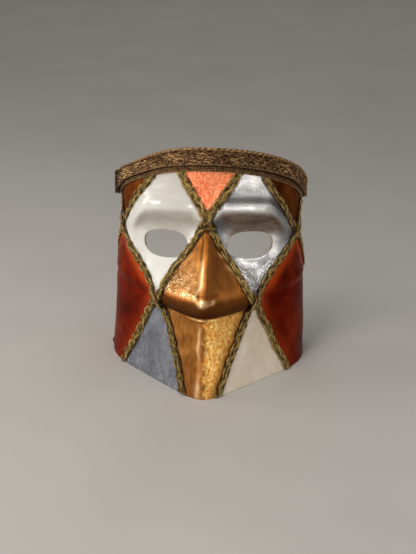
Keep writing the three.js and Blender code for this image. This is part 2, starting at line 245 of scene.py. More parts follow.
def brow_and_hollow(across, height):
    """How far the brow's ridge stands forward, less the depth of the eye's hollow, an oval with squarer corners."""
    crest = brow_crest(across)
    reach = np.where(height > crest, BROW_ABOVE, BROW_BELOW)
    ridge = BROW_RISE * bell((height - crest) / reach)
    sideways = np.abs((across - HOLLOW_ACROSS) / HOLLOW_HALF_WIDTH) ** HOLLOW_POWER
    upwards = np.abs((height - HOLLOW_HEIGHT) / HOLLOW_HALF_HEIGHT) ** HOLLOW_POWER
    hollow = HOLLOW_DEPTH * np.exp(-((sideways + upwards) ** HOLLOW_FLATNESS))
    return (ridge - hollow) * (1 - ease(*BROW_FADE, across))


def soft_above(value, width):
    """Zero below zero and the value above it, with a round corner of the given width."""
    t = np.clip((value + width) / (2 * width), 0, 1)
    return np.where(value > width, value, width * t * t)


def nose_forward(across, height):
    """A ridge that rises as it comes down to the tip, with flanks that fall away on both sides of its flat top."""
    rise_height = NOSE_ROOT - NOSE_SHOULDER
    above_tip = soft_above(np.minimum(height, NOSE_ROOT) - NOSE_SHOULDER, SHOULDER_ROUND)
    t = 1 - above_tip / rise_height
    foot = NOSE_FOOT - NOSE_DIP * np.sin(0.8 * np.pi * t)
    from_ridge = np.hypot(np.maximum(across - RIDGE_FLAT, 0), RIDGE_ROUND) - RIDGE_ROUND
    slope = FLANK_SLOPES[0] + (FLANK_SLOPES[1] - FLANK_SLOPES[0]) * ease(*FLANK_LEVELS, height)
    above = np.maximum(height - NOSE_ROOT, 0)
    return foot + NOSE_RISE * t - from_ridge * slope - 0.02 * above**2


def roll_shape(across, height, inside):
    """How much of the roll's depth is added to the face, and the share of all that is left below its shoulder: a
    quarter of an oval down to the ledge, or on the inside a soft slope."""
    shoulder = NOSE_SHOULDER - SHOULDER_DROP * ease(DROP_FROM, DROP_TO, across)
    added = 1 - ease(0, ROLL_REACH, height - shoulder)
    down = np.clip((shoulder - height) / (shoulder - LEDGE), 0, 1)
    share = ease(SOFT_LEDGE, NOSE_SHOULDER, height) if inside else np.sqrt(1 - down**ROLL_POWER)
    return ROLL_DEPTH * added, share * (1 - ease(*ROLL_FADE, across))


def skin(around, height, inside=False):
    """A point of the smooth skin: the plan with its brow, hollows and nose. The inside has a softer ledge."""
    around, height = np.broadcast_arrays(np.asarray(around, float), np.asarray(height, float))
    x, plan = plan_point(around, height)
    across = np.abs(x)
    face = plan + brow_and_hollow(across, height)
    added, share = roll_shape(across, height, inside)
    with_nose = soft_max(face + added, nose_forward(across, height), BLEND)
    return np.stack([x, SHIFT - face - (with_nose - face) * share, height], axis=-1)


def slopes_of(around, height, inside=False):
    """The skin's change with around, its change with height, and its outward normal."""
    da, dz = 0.002, 0.25
    sideways = (skin(around + da, height, inside) - skin(around - da, height, inside)) / (2 * da)
    upwards = (skin(around, height + dz, inside) - skin(around, height - dz, inside)) / (2 * dz)
    return sideways, upwards, unit(np.cross(sideways, upwards))


def hand_relief(points, around, height):
    """How far the hand-laid paper stands off the smooth skin: swellings and small lumps, the soft crease where the
    cheek meets the flaring jaw, lumps at the nose's tip, a lip under it, and a drop of lacquer low on the left."""
    x, away = points[..., 0], np.abs(around)
    swell = 0.45 * waves(points, 11, 14, 35, 80) + 0.13 * waves(points, 12, 26, 9, 20)
    line = CREASE_HEIGHT + 3.5 * waves(points, 13, 5, 60, 120)
    side = ease(0.36, 0.5, away) * (1 - 0.5 * ease(0.7, 1, away))
    crease = bell((height - line - 8) / 7) - bell((height - line) / 4.6)
    tip = sum(size * bell((x - place) / TIP_WIDTH) for place, size in TIP_LUMPS)
    tip = tip * bell((height - TIP_HEIGHT) / TIP_WIDTH)
    lip = 0.4 * bell((height - LIP_HEIGHT) / 0.7) * (1 - ease(10, 18, np.abs(x)))
    drop = LACQUER_SIZE * bell((around - LACQUER_AROUND) / 0.016) * bell((height - LACQUER_HEIGHT) / 2.4)
    return swell * ease(0, 12, height) + crease * side + tip + lip + drop


def off_skin(around, height, lift):
    """A point lifted off the hand-laid skin, square to it."""
    points = skin(around, height)
    normal = slopes_of(around, height)[2]
    relief = hand_relief(points, around, height)
    return points + normal * (np.asarray(lift) + relief)[..., None]


def left_sag(around):
    """How far the top edge sags on the left: an eased slope that recovers towards the rear."""
    return LEFT_SAG * ease(*SAG_FALL, -around) * (1 - 0.8 * ease(*SAG_RECOVERY, -around))


def top_edge(around):
    """Height of the top edge: a parabola."""
    return TOP_MIDDLE - TOP_DROP * (around / TOP_DROP_AT) ** 2 - left_sag(around)


def under_edge(around, below):
    """Height of a place on the trimmings below the top edge; they are pulled narrower where the edge sags."""
    return top_edge(around) - below * (1 - NARROWER * left_sag(around))


# Meshes

def new_object(name, points, quads, caps=(), uv=None, values=None):
    """An object with its place in its mesh, from points in millimetres, four corners for each face, and end caps with
    any number; uv is one pair for each face corner, and values names one number for each point."""
    corners = np.concatenate([quads.ravel(), *caps]).astype(np.int32)
    sizes = np.array([4] * len(quads) + [len(cap) for cap in caps])
    mesh = bpy.data.meshes.new(name)
    mesh.vertices.add(len(points))
    mesh.vertices.foreach_set("co", (points * MM).astype(np.float32).ravel())
    mesh.loops.add(len(corners))
    mesh.loops.foreach_set("vertex_index", corners)
    mesh.polygons.add(len(sizes))
    mesh.polygons.foreach_set("loop_start", (np.cumsum(sizes) - sizes).astype(np.int32))
    mesh.update(calc_edges=True)
    mesh.shade_smooth()
    if uv is not None:
        layer = mesh.uv_layers.new(name="along")
        at_caps = np.zeros((len(corners) - quads.size, 2))
        layer.data.foreach_set("uv", np.concatenate([uv.reshape(-1, 2), at_caps]).ravel())
    for word, numbers in (values or {}).items():
        mesh.attributes.new(word, "FLOAT", "POINT").data.foreach_set("value", numbers.astype(np.float32))
    made = bpy.data.objects.new(name, mesh)
    bpy.context.scene.collection.objects.link(made)
    return made


class Cords:
    """Gathers round cords of one piece: each is a ring of points carried along a path, closed at both ends."""

    def __init__(self, sides):
        self.sides = sides
        self.points, self.quads, self.caps, self.uv, self.tone = [], [], [], [], []
        self.count = 0

    def add(self, centres, normals, radius, tone):
        """centres and normals are (stations, 3); radius and tone are one number or one for each station."""
        tangents = unit(np.gradient(centres, axis=0))
        across = unit(np.cross(tangents, normals))
        up = np.cross(across, tangents)
        turn = np.arange(self.sides) / self.sides * 2 * np.pi
        radius = np.broadcast_to(radius, len(centres))[:, None, None]
        ring = np.cos(turn)[:, None] * across[:, None] + np.sin(turn)[:, None] * up[:, None]
        self.points.append((centres[:, None] + radius * ring).reshape(-1, 3))
        self._join(centres, self.sides, tone)

    def add_strip(self, rings, tone):
        """A strip whose ring of section points is given for each station: (stations, sides, 3)."""
        self.points.append(rings.reshape(-1, 3))
        self._join(rings.mean(axis=1), rings.shape[1], tone)

    def _join(self, centres, sides, tone):
        """Four-cornered faces between neighbouring rings, a cap at each end, and a UV map that gives the millimetres
        along the cord and the turns round it."""
        stations = len(centres)
        n, i = np.meshgrid(np.arange(stations - 1), np.arange(sides), indexing="ij")
        here, there = n * sides + i, n * sides + (i + 1) % sides
        quads = np.stack([here, there, there + sides, here + sides], axis=-1).reshape(-1, 4)
        ends = [np.arange(sides)[::-1], (stations - 1) * sides + np.arange(sides)]
        along = lengths_along(centres)
        u = np.stack([along[n], along[n], along[n + 1], along[n + 1]], axis=-1)
        v = np.stack([i, i + 1, i + 1, i], axis=-1) / sides
        self.quads.append(quads + self.count)
        self.caps += [end + self.count for end in ends]
        self.uv.append(np.stack([u, v], axis=-1).reshape(-1, 2))
        self.tone.append(np.repeat(np.broadcast_to(tone, stations), sides))
        self.count += stations * sides

    def finish(self, node, material, slot):
        join = np.concatenate
        values = {"tone": join(self.tone)}
        made = new_object(node + "_cords", join(self.points), join(self.quads), self.caps, join(self.uv), values)
        made.data.materials.append(material)
        finish_piece(made, node)


def finish_piece(made, node):
    """Puts a piece on the mask in place of its plain solid."""
    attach(made, "root")
    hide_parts(node)


# Braid routes over the skin

def smooth_line(points, samples):
    """A smooth line through given points: cubic pieces whose slope at a point is that of its two neighbours."""
    points = np.asarray(points, float) * [100, 1]
    knots = lengths_along(points)
    tangents = np.gradient(points, knots, axis=0)
    at = np.linspace(0, knots[-1], samples)
    line = [cubic(knots, values, slopes, at) for values, slopes in zip(points.T, tangents.T)]
    return np.stack(line, axis=-1) / [100, 1]


class Route:
    """Stations at equal true lengths along a line over the skin."""

    def __init__(self, line, step):
        lengths = lengths_along(skin(line[:, 0], line[:, 1]))
        self.length = lengths[-1]
        self.along = np.linspace(0, self.length, int(self.length / step) + 1)
        self.around = np.interp(self.along, lengths, line[:, 0])
        self.height = np.interp(self.along, lengths, line[:, 1])
        self.sideways, self.upwards, self.normal = slopes_of(self.around, self.height)
        self.spots = skin(self.around, self.height)
        heading = unit(np.gradient(self.spots, axis=0))
        self.heading = unit(heading - self.normal * (heading * self.normal).sum(-1, keepdims=True))

    def beside(self, distance, lift):
        """Points at a distance to the left of the route, measured over the skin, and lifted off it: the step is split
        into its shares of the skin's two slopes. They keep inside the shell's edges and under the edge braid."""
        across = np.cross(self.normal, self.heading) * np.asarray(distance)[..., None]
        uu = (self.sideways**2).sum(-1)
        uv = (self.sideways * self.upwards).sum(-1)
        vv = (self.upwards**2).sum(-1)
        pu = (across * self.sideways).sum(-1)
        pv = (across * self.upwards).sum(-1)
        det = uu * vv - uv * uv
        around = np.clip(self.around + (pu * vv - pv * uv) / det, -BAND_END, BAND_END)
        highest = under_edge(around, EDGE_BRAID_BOTTOM) - EDGE_GAP
        height = np.clip(self.height + (pv * uu - pu * uv) / det, LOWER_GAP, highest)
        return off_skin(around, height, lift)

    def lift_over(self, crossings):
        """The hump where this braid passes over another."""
        lift = np.zeros(len(self.along))
        for around, height in crossings:
            distance = np.linalg.norm(self.spots - skin(around, height), axis=1)
            lift = np.maximum(lift, LIFT_OVER * (1 - ease(LIFT_FLAT, LIFT_END, distance)))
        return lift


def braid_line(name, side, samples=400):
    """A braid's centre line as it was laid."""
    around, height = np.array(ROUTES[name], float).T
    around = side * around
    shift = np.interp(height, *zip(*HAND_SHIFTS[name, side]))
    width = (plan_point(around + 0.01, height)[0] - plan_point(around - 0.01, height)[0]) / 0.02
    return smooth_line(np.stack([around + shift / np.maximum(width, 70), height], axis=-1), samples)


def meeting(first, second):
    """Where two lines come closest."""
    a, b = (skin(line[:, 0], line[:, 1]) for line in (first, second))
    gaps = np.linalg.norm(a[:, None] - b[None], axis=2)
    return first[np.unravel_index(gaps.argmin(), gaps.shape)[0]]


LINES = {(name, side): braid_line(name, side) for name in ROUTES for side in (-1, 1)}
ROOT = meeting(LINES["jaw", -1], LINES["jaw", 1])
CHEEKS_MEET = {side: meeting(LINES["chin", side], LINES["jaw", side]) for side in (-1, 1)}
TEMPLES_MEET = {side: meeting(LINES["chin", side], LINES["rear", side]) for side in (-1, 1)}


# The shell

def column_places():
    """Evenly spaced values and a share of their cubes, so that columns stand closest at the chin."""
    t = np.linspace(-1, 1, COLUMNS + 1)
    return t * (1 - CHIN_CROWDING + CHIN_CROWDING * t * t)


def low_heights():
    """Rows 1.3 mm apart, closer about the ledge and the nose's root; the first clears the rounded lower edge."""
    fine = np.linspace(RIM_BULGE, LOW_TOP, 2000)
    spacing = 1.3 - 0.75 * np.exp(-(((fine - 85) / 11) ** 4)) - 0.3 * np.exp(-(((fine - 166) / 16) ** 4))
    steps = np.concatenate([[0], np.cumsum(np.diff(fine) / spacing[1:])])
    return np.interp(np.linspace(0, steps[-1], int(steps[-1])), steps, fine)


def eye_height(side):
    """Height of an eye hole's middle: the right one was cut higher."""
    return EYE_HEIGHT + RIGHT_EYE_RAISED * (side > 0)


def eye_inside(x, height, side):
    """Below 1 inside the eye's outline, a tilted ellipse with squarer corners, and 1 on it."""
    dx, dz = x - side * EYE_ACROSS, height - eye_height(side)
    turn = side * EYE_TILT
    p = (dx * math.cos(turn) - dz * math.sin(turn)) / EYE_HALF_WIDTH
    q = (dx * math.sin(turn) + dz * math.cos(turn)) / EYE_HALF_HEIGHT
    return (np.abs(p) ** EYE_POWER + np.abs(q) ** EYE_POWER) ** (1 / EYE_POWER)


def around_at(x, height, guess):
    """The place around whose plan point lies at x, by repeated straight-line steps."""
    around = guess.copy()
    for _ in range(6):
        here = plan_point(around, height)[0]
        slope = (plan_point(around + 1e-4, height)[0] - here) / 1e-4
        around = around + (x - here) / slope
    return around


def eye_block(places, heights, side):
    """First and last column and row of the block of cells that becomes an eye hole."""
    x = plan_point(places, np.full(len(places), eye_height(side)))[0]
    columns = np.flatnonzero(np.abs(x - side * EYE_ACROSS) <= EYE_BLOCK * EYE_HALF_WIDTH)
    rows = np.flatnonzero(np.abs(heights - eye_height(side)) <= EYE_BLOCK * EYE_HALF_HEIGHT)
    return columns[0], columns[-1], rows[0], rows[-1]


def pull_to_eye(around, height, places, heights, side):
    """Moves the block's edge onto the eye's outline, and what is round it by less and less: a vertex moves as the
    edge vertex in its direction does, times a share that eases from one to nothing."""
    first_column, last_column, first_row, last_row = eye_block(places, heights, side)
    i, j = np.meshgrid(np.arange(around.shape[0]), np.arange(around.shape[1]), indexing="ij")
    middle_i, half_i = (first_column + last_column) / 2, (last_column - first_column) / 2
    middle_j, half_j = (first_row + last_row) / 2, (last_row - first_row) / 2
    gi, gj = (i - middle_i) / half_i, (j - middle_j) / half_j
    out = np.maximum(np.maximum(np.abs(gi), np.abs(gj)), 1e-6)
    edge_around = np.interp(middle_i + half_i * gi / out, np.arange(len(places)), places)
    edge_height = np.interp(middle_j + half_j * gj / out, np.arange(len(heights)), heights)
    edge_x = plan_point(edge_around, edge_height)[0]
    size = eye_inside(edge_x, edge_height, side)
    move_x = (edge_x - side * EYE_ACROSS) * (1 / size - 1)
    move_z = (edge_height - eye_height(side)) * (1 / size - 1)
    share = np.where(out < 0.999, 0, 1 - ease(1, EYE_PULL, out))
    near = share > 0
    x = plan_point(around, height)[0] + share * move_x
    moved_height = height + share * move_z
    around[near] = around_at(x[near], moved_height[near], around[near])
    height[near] = moved_height[near]


def shell_grid():
    """Places around and heights of the shell's vertices, and which cells are kept. The high rows fill what is left
    up to the top edge."""
    places, low = column_places(), low_heights()
    share = (np.arange(1, HIGH_ROWS + 1) / HIGH_ROWS) ** 1.1
    top = top_edge(places)[:, None] - 0.3
    around = np.repeat(places[:, None], len(low) + HIGH_ROWS, axis=1)
    height = np.concatenate([np.repeat(low[None], len(places), axis=0), LOW_TOP + share * (top - LOW_TOP)], axis=1)
    kept = np.ones((around.shape[0] - 1, around.shape[1] - 1), bool)
    for side in (-1, 1):
        pull_to_eye(around, height, places, np.concatenate([low, height[0, len(low):]]), side)
        first_column, last_column, first_row, last_row = eye_block(places, low, side)
        kept[first_column:last_column, first_row:last_row] = False
    return around, height, kept


def inner_skin(around, height):
    """The inside, one wall thickness behind the skin, flush with the shell's edges."""
    points = skin(around, height, inside=True)
    normal = slopes_of(around, height, inside=True)[2]
    paper = 0.3 * waves(points, 21, 20, 10, 26) + 0.35 * waves(points, 22, 10, 30, 60)
    points = points + normal * (paper * ease(2, 12, height) - WALL)[..., None]
    points[:, 0, 2] = height[:, 0]
    points[:, -1, 2] = height[:, -1]
    points[[0, -1], :, 1] = SHIFT + REAR - RIM_BULGE
    return points


def boundary_edges(quads):
    """Directed edges that only one face uses."""
    edges = np.concatenate([quads[:, [k, (k + 1) % 4]] for k in range(4)])
    key = np.sort(edges, axis=1)
    _, inverse, counts = np.unique(key, axis=0, return_inverse=True, return_counts=True)
    return edges[counts[inverse.ravel()] == 1]


def rounded_rims(outer, inner, normals, edges):
    """Joins the two skins along their edges with bands of faces. A band point lies between the outer and the inner
    edge point, pushed out of the sheet by a half round."""
    vertices = np.unique(edges)
    rank = np.full(len(outer), -1)
    rank[vertices] = np.arange(len(vertices))
    tangent = np.zeros((len(vertices), 3))
    direction = outer[edges[:, 1]] - outer[edges[:, 0]]
    for column in (0, 1):
        np.add.at(tangent, rank[edges[:, column]], unit(direction))
    outwards = unit(np.cross(unit(tangent), normals[vertices]))
    t = np.arange(1, RIM_BANDS) / RIM_BANDS
    across = (0.5 - 0.5 * np.cos(np.pi * t))[None, :, None]
    push = (RIM_BULGE * np.sqrt(np.sin(np.pi * t)))[None, :, None]
    start, end = outer[vertices][:, None], inner[vertices][:, None]
    points = start + (end - start) * across + outwards[:, None] * push

    def ring(vertex, band):
        """The band's point at a vertex: the outer skin's own, the inner skin's own, or one between them."""
        if band in (0, RIM_BANDS):
            return vertex + len(outer) * (band > 0)
        return 2 * len(outer) + rank[vertex] * (RIM_BANDS - 1) + band - 1

    a, b = edges.T
    faces = [np.stack([ring(b, k), ring(a, k), ring(a, k + 1), ring(b, k + 1)], axis=-1) for k in range(RIM_BANDS)]
    return points.reshape(-1, 3), faces


def place_at(name, side, height):
    """How far out on its own side a braid's centre line is at each height; past its end it is where it ends."""
    line = LINES[name, side]
    order = np.argsort(line[:, 1])
    return side * np.interp(height, line[order, 1], line[order, 0])


PANELS = [
    "copper", "coral", "white", "silver", "red_left", "red_right", "slate", "cream", "corner_left", "corner_right",
    "temple_left", "temple_right", "paper",
]


def panel_of(around, height):
    """Which painted panel a place belongs to: the joins run under the braids."""
    panel = np.zeros(around.shape, int)
    for side, word in ((-1, "left"), (1, "right")):
        away = side * around
        jaw, chin, rear = (place_at(name, side, height) for name in ("jaw", "chin", "rear"))
        other_jaw = place_at("jaw", -side, height)
        low, high = height < CHEEKS_MEET[side][1], height > TEMPLES_MEET[side][1]
        upper, lower = ("white", "slate") if side == -1 else ("silver", "cream")
        behind_up = high & (away > chin) & (height < TEMPLE_TO_CHIN[0][1])
        behind_down = ~high & (height > BROW_TO_REAR[-1][1]) & (away > rear)
        choices = [
            ((height > ROOT[1]) & (away < -other_jaw), "coral"),
            (np.where(low, away <= chin, away <= jaw), "copper"),
            (behind_up | behind_down, "temple_" + word),
            (high & (away > rear), "corner_" + word),
            (low & (away <= jaw), lower),
            (~high & (low | (away > chin)), "red_" + word),
        ]
        found = np.select([where for where, _ in choices], [PANELS.index(name) for _, name in choices],
                          PANELS.index(upper))
        panel = np.where(away >= 0, found, panel)
    return panel


def braid_distance(points):
    """Distance in millimetres from each point to the nearest braid's centre line."""
    spots = np.concatenate([skin(line[::4, 0], line[::4, 1]) for line in LINES.values()])
    nearest = np.full(len(points), 1e9)
    for start in range(0, len(spots), 60):
        gaps = np.linalg.norm(points[:, None] - spots[None, start:start + 60], axis=2)
        nearest = np.minimum(nearest, gaps.min(axis=1))
    return nearest


def shell_rim_panels(outer, panel, edges):
    """Panel of each rim face, band by band: paint laps over the edge; the outer ends of the eye holes show paper."""
    middle = (outer[edges[:, 0]] + outer[edges[:, 1]]) / 2
    x, height = middle[:, 0], middle[:, 2]
    at_eye = np.minimum(eye_inside(x, height, -1), eye_inside(x, height, 1)) < 1.2
    outer_end = at_eye & (np.abs(x) > EYE_ACROSS + 0.45 * EYE_HALF_WIDTH) & (height > EYE_HEIGHT - 7)
    at_rear = middle[:, 1] > SHIFT + REAR - 2
    painted = np.select([outer_end, at_eye, at_rear], [1, 5, 3], 4)
    paper = PANELS.index("paper")
    return [np.where(band < painted, panel[edges[:, 0]], paper) for band in range(RIM_BANDS)]


def painted_shade(points, normal):
    """Where shade is painted: on what faces down, under the brow, and on the roll from its shoulder to the ledge."""
    across, height = np.abs(points[:, 0]), points[:, 2]
    shoulder = NOSE_SHOULDER - SHADE_TOP_DROP * ease(DROP_FROM, DROP_TO, across)
    roll = ease(-2, 4.5, shoulder - height) * (height > LEDGE - 1) * (1 - ease(*ROLL_FADE, across))
    # No shade is painted along the ledge's edge, so a thin bright line shows there.
    unshaded_ledge = (height > LEDGE - 1) * (height < LEDGE + 1.1) * (1 - ease(14, 26, across))
    under_brow = ease(1, 6, brow_crest(across) - height) * ease(134, 142, height)
    under_brow = under_brow * between((12, 26), (58, 72), across)
    facing_down = np.maximum(ease(0.0, 0.6, -normal[:, 2]), 0.95 * under_brow)
    return np.maximum(facing_down, 0.9 * roll) * (1 - unshaded_ledge)


def painted_brow_light(points):
    """1 along the brow's crest, where a highlight is painted, and below 0 above it, where a dark band is painted."""
    above = points[:, 2] - brow_crest(np.abs(points[:, 0]))
    return bell((above - 1.5) / 2.6) - 0.8 * bell((above - 8.5) / 4.0)


def painted_copper_light(x, height):
    """Where highlights are painted on the copper panel: along the nose's ridge, on its tip, on the lip under it, down
    the edge of the chin, and along a fold beside the right braid; below 0 for painted shade between ridge and tip."""
    ridge_place = -3.3 - 6 * (1 - ease(97, 110, height))
    ridge = 0.65 * bell((x - ridge_place) / 2.1) * between((95, 99), (120, 131), height)
    tip = np.exp(-((x + 1.1) ** 2 + 1.4 * (height - 95.4) ** 2) / 18)
    tip = tip + 0.6 * np.exp(-((x - 7.7) ** 2 + (height - 96.5) ** 2) / 6)
    # Painted shade in the dip between the ridge and the tip.
    dip_shade = bell((height - 100.6) / 1.5) * (1 - ease(8, 14, np.abs(x - 1)))
    lip = 0.7 * bell((height - 74.2) / 0.8) * (1 - ease(6, 17, np.abs(x + 2)))
    wobble = 0.7 * np.sin(height / 6.1) + 0.4 * np.sin(height / 2.3)
    chin = bell((x + 4 + wobble) / (1.7 + 1.6 * ease(24, 4, height))) * (1 - ease(66, 72, height))
    chin = chin * (0.45 + 0.25 * np.sin(height / 7.7 + 1))
    from_fold = ((x - 17.5) - 0.96 * (119.4 - height)) / 1.39
    fold = 0.8 * bell(from_fold / 1.1) * between((98, 104), (116, 121), height)
    near_braid = 0.7 * bell((from_fold - 2.6) / 1.2) * between((110, 116), (126, 134), height)
    return np.clip(ridge + tip + lip + chin + fold + near_braid - dip_shade, -1, 1)


def make_shell(materials):
    """The shell: its outer skin with beads of glue beside the trimmings, its inside, its rounded rims, and its marks,
    numbers for each point that the finishes read."""
    around, height, kept = shell_grid()
    columns, rows = around.shape
    flat_around, flat_height = around.ravel(), height.ravel()
    smooth = skin(flat_around, flat_height)
    normal = slopes_of(flat_around, flat_height)[2]
    glue_line = np.abs(under_edge(flat_around, GIMP_MIDDLE) - flat_height) + GIMP_WIDER
    distance = np.minimum(braid_distance(smooth), glue_line)
    bead = BEAD_SIZE * bell((distance - BEAD_FROM_MIDDLE) / BEAD_WIDTH) * (0.6 + 0.6 * waves(smooth, 31, 12, 6, 18))
    outer = smooth + normal * (hand_relief(smooth, flat_around, flat_height) + bead)[:, None]
    inner = inner_skin(around, height).reshape(-1, 3)
    outer.reshape(columns, rows, 3)[[0, -1], :, 1] = SHIFT + REAR - RIM_BULGE
    outer.reshape(columns, rows, 3)[:, 0, 2] = RIM_BULGE

    i, j = np.nonzero(kept)
    a = i * rows + j
    quads = np.stack([a, a + rows, a + rows + 1, a + 1], axis=-1)
    edges = boundary_edges(quads)
    rim_points, rim_faces = rounded_rims(outer, inner, normal, edges)
    inside_quads = quads[:, ::-1] + len(outer)
    points = np.concatenate([outer, inner, rim_points])
    faces = np.concatenate([quads, inside_quads, *rim_faces])

    face_around = flat_around[quads].mean(axis=1)
    face_height = flat_height[quads].mean(axis=1)
    vertex_panel = panel_of(flat_around, flat_height)
    indices = [panel_of(face_around, face_height), np.full(len(quads), PANELS.index("paper"))]
    indices += shell_rim_panels(outer, vertex_panel, edges)

    used = np.unique(faces)
    renumber = np.zeros(len(points), int)
    renumber[used] = np.arange(len(used))
    marks = {
        "from_braid": (distance, UNSEEN),
        "shade": (painted_shade(smooth, normal), 0.0),
        "crest": (painted_brow_light(smooth), 0.0),
        "bright": (painted_copper_light(smooth[:, 0], smooth[:, 2]), 0.0),
        "arc": (np.hypot(smooth[:, 0] - WRINKLE_CENTRE[0], smooth[:, 2] - WRINKLE_CENTRE[1]), 0.0),
    }
    more = (0, len(points) - len(outer))
    values = {word: np.pad(mark, more, constant_values=rest)[used] for word, (mark, rest) in marks.items()}
    made = new_object("mask_shell_surface", points[used], renumber[faces], values=values)
    for panel in PANELS:
        made.data.materials.append(materials[panel])
    made.data.polygons.foreach_set("material_index", np.concatenate(indices).astype(np.int32))
    finish_piece(made, "mask_shell")


# Plaited braids

def plait(cords, place, along, turn, normals, random, strands, members, swing, depth, radius, light=1.0):
    """A flat plait. A strand swings across as a flattened sine of its angle and dips as the sine of (strands - 1)
    times the angle, so that it passes over and under by turns; the strands are evenly spaced in angle, and each is
    made of cords side by side. place gives points from distances across and lifts."""
    for strand in range(strands):
        angle = turn + 2 * np.pi * strand / strands
        middle = swing * (np.sin(angle) - np.sin(3 * angle) / 7)
        dip = np.sin((strands - 1) * angle)
        for member in range(members):
            beside = (member - (members - 1) / 2) * 2 * radius * CORD_PACKING
            wander = 0.28 * np.sin(2 * np.pi * along / random.uniform(5, 9) + random.uniform(0, 6))
            centres = place(middle + beside + wander, radius + depth * (1 + dip))
            nubs = 0.14 * np.sin(2 * np.pi * along / random.uniform(2.4, 3.4) + random.uniform(0, 6))
            # Painted shade: a cord is darker where its strand dips under the others; the rest of its tone is random.
            tone = 0.65 * random.random() + 0.2 * (1 + dip)
            cords.add(centres, normals, radius * (random.uniform(0.9, 1.05) + nubs), tone * light)


def frayed_end(cords, route, last, random):
    """Loose thread ends past the end of a braid: thin cords that run on and splay."""
    k = -1 if last else 0
    sign = 1 if last else -1
    heading, normal = sign * route.heading[k], route.normal[k]
    across = np.cross(normal, heading)
    start = route.beside(np.zeros(len(route.along)), 0.8)[k]
    t = np.linspace(0, 1, 5)[:, None]
    for _ in range(FRAYED_THREADS):
        offset = across * random.uniform(-3, 3) + normal * random.uniform(-0.4, 0.9)
        reach = random.uniform(1.5, 3.6)
        splay = across * random.uniform(-1.6, 1.6) + normal * random.uniform(0, 1.3)
        line = start + offset + heading * (reach * t - 1.2) + splay * t**2
        line[:, 2] = np.maximum(line[:, 2], 0.35)
        cords.add(line, np.repeat(normal[None], 5, axis=0), 0.17, random.uniform(0.2, 1))


def make_braid(name, line, crossings, seed, material, frays):
    """A narrow glued braid: a flat plait of four strands over a dark core, lifted where it passes over another."""
    random = np.random.default_rng(seed)
    path = Route(line, step=0.75)
    lift = SEAT + path.lift_over(crossings)
    drift = 0.3 * waves(path.spots, seed, 6, 25, 60)
    swing = PLAIT_SWING * (1 + 0.1 * waves(path.spots, seed + 1, 6, 20, 50))
    turn = 2 * np.pi * path.along / PLAIT_PERIOD + 0.6 * waves(path.spots, seed + 2, 5, 30, 70)
    ends = np.minimum(path.along, path.length - path.along)
    swing = swing * (0.7 + 0.3 * ease(0, 4, ends))

    def place(across, rise):
        return path.beside(drift + across, lift + rise)

    cords = Cords(6)
    add_core(cords, place)
    plait(cords, place, path.along, turn, path.normal, random, strands=4, members=3, swing=swing, depth=PLAIT_DEPTH,
          radius=CORD_RADIUS)
    for last in frays:
        frayed_end(cords, path, last, random)
    cords.finish(name, material, "old_gold_braid")


def add_core(cords, place):
    """The core under the plait: a flat strip in the darkest tone, as painted shade in the gaps between the strands.
    """
    half = 0.32 * BRAID_WIDTH
    low, high = -SEAT, 0.75
    corners = [(half, low), (-half, low), (-half - 0.3, 0.2), (-half, high), (half, high), (half + 0.3, 0.2)]
    rings = np.stack([place(across, rise) for across, rise in corners], axis=1)
    cords.add_strip(rings, 0.0)


# Gimp and edge braid along the top

class TopBand:
    """Stations at equal lengths along the top edge; at() gives points at a distance below the edge, lifted off the
    skin. Towards both ends the band grows thicker; it flares up at the left end and narrows at the right one."""

    def __init__(self, step):
        self.places = np.linspace(-BAND_END, BAND_END, 1200)
        self.lengths = lengths_along(skin(self.places, top_edge(self.places) - 8))
        self.length = self.lengths[-1]
        self.along = np.linspace(0, self.length, int(self.length / step) + 1)
        self.normal = self.normal_at(self.along)

    def around(self, along):
        return np.interp(along, self.lengths, self.places)

    def normal_at(self, along):
        around = self.around(along)
        return slopes_of(around, top_edge(around) - 8)[2]

    def at(self, along, below, lift):
        left, right = 1 - ease(0, 18, along), ease(self.length - 22, self.length, along)
        below = below * (1 - 0.16 * right) - 3 * left * (1 - below / 21)
        around = self.around(along)
        return off_skin(around, under_edge(around, below), lift * (1 + 0.9 * left + 0.3 * right))


def add_cord(cords, band, along, below, lift, radius, tone):
    """A cord along the band; towards the left end it is painted darker, as shade."""
    darker = 0.45 * (1 - ease(4, 50, along))
    cords.add(band.at(along, below, lift), band.normal_at(along), radius, tone - darker)


def add_twisted(cords, band, below, lift, radius, pitch, tone, plies=2):
    """A cord of plies that wind round each other: each ply is a helix."""
    for ply in range(plies):
        turn = 2 * np.pi * (band.along / pitch + ply / plies)
        add_cord(cords, band, band.along, below + radius * np.cos(turn), lift + radius * np.sin(turn), radius * 0.9,
                 tone + 0.4 * (ply / (plies - 1) - 0.5))


def add_base(cords, band, top, bottom, thick, sides):
    """The base of a trimming, in the darkest tone as painted shade: a flat section with rounded shoulders."""
    t = np.linspace(0, np.pi, sides - 2)
    half, middle = (bottom - top) / 2, (bottom + top) / 2
    section = [(middle - half * np.cos(a), thick * np.sin(a) ** 0.5) for a in t]
    section += [(middle + half * 0.5, 0.0), (middle - half * 0.5, 0.0)]
    rings = np.stack([band.at(band.along, below, SEAT + lift) for below, lift in section], axis=1)
    cords.add_strip(rings[:, ::-1], 0.0)


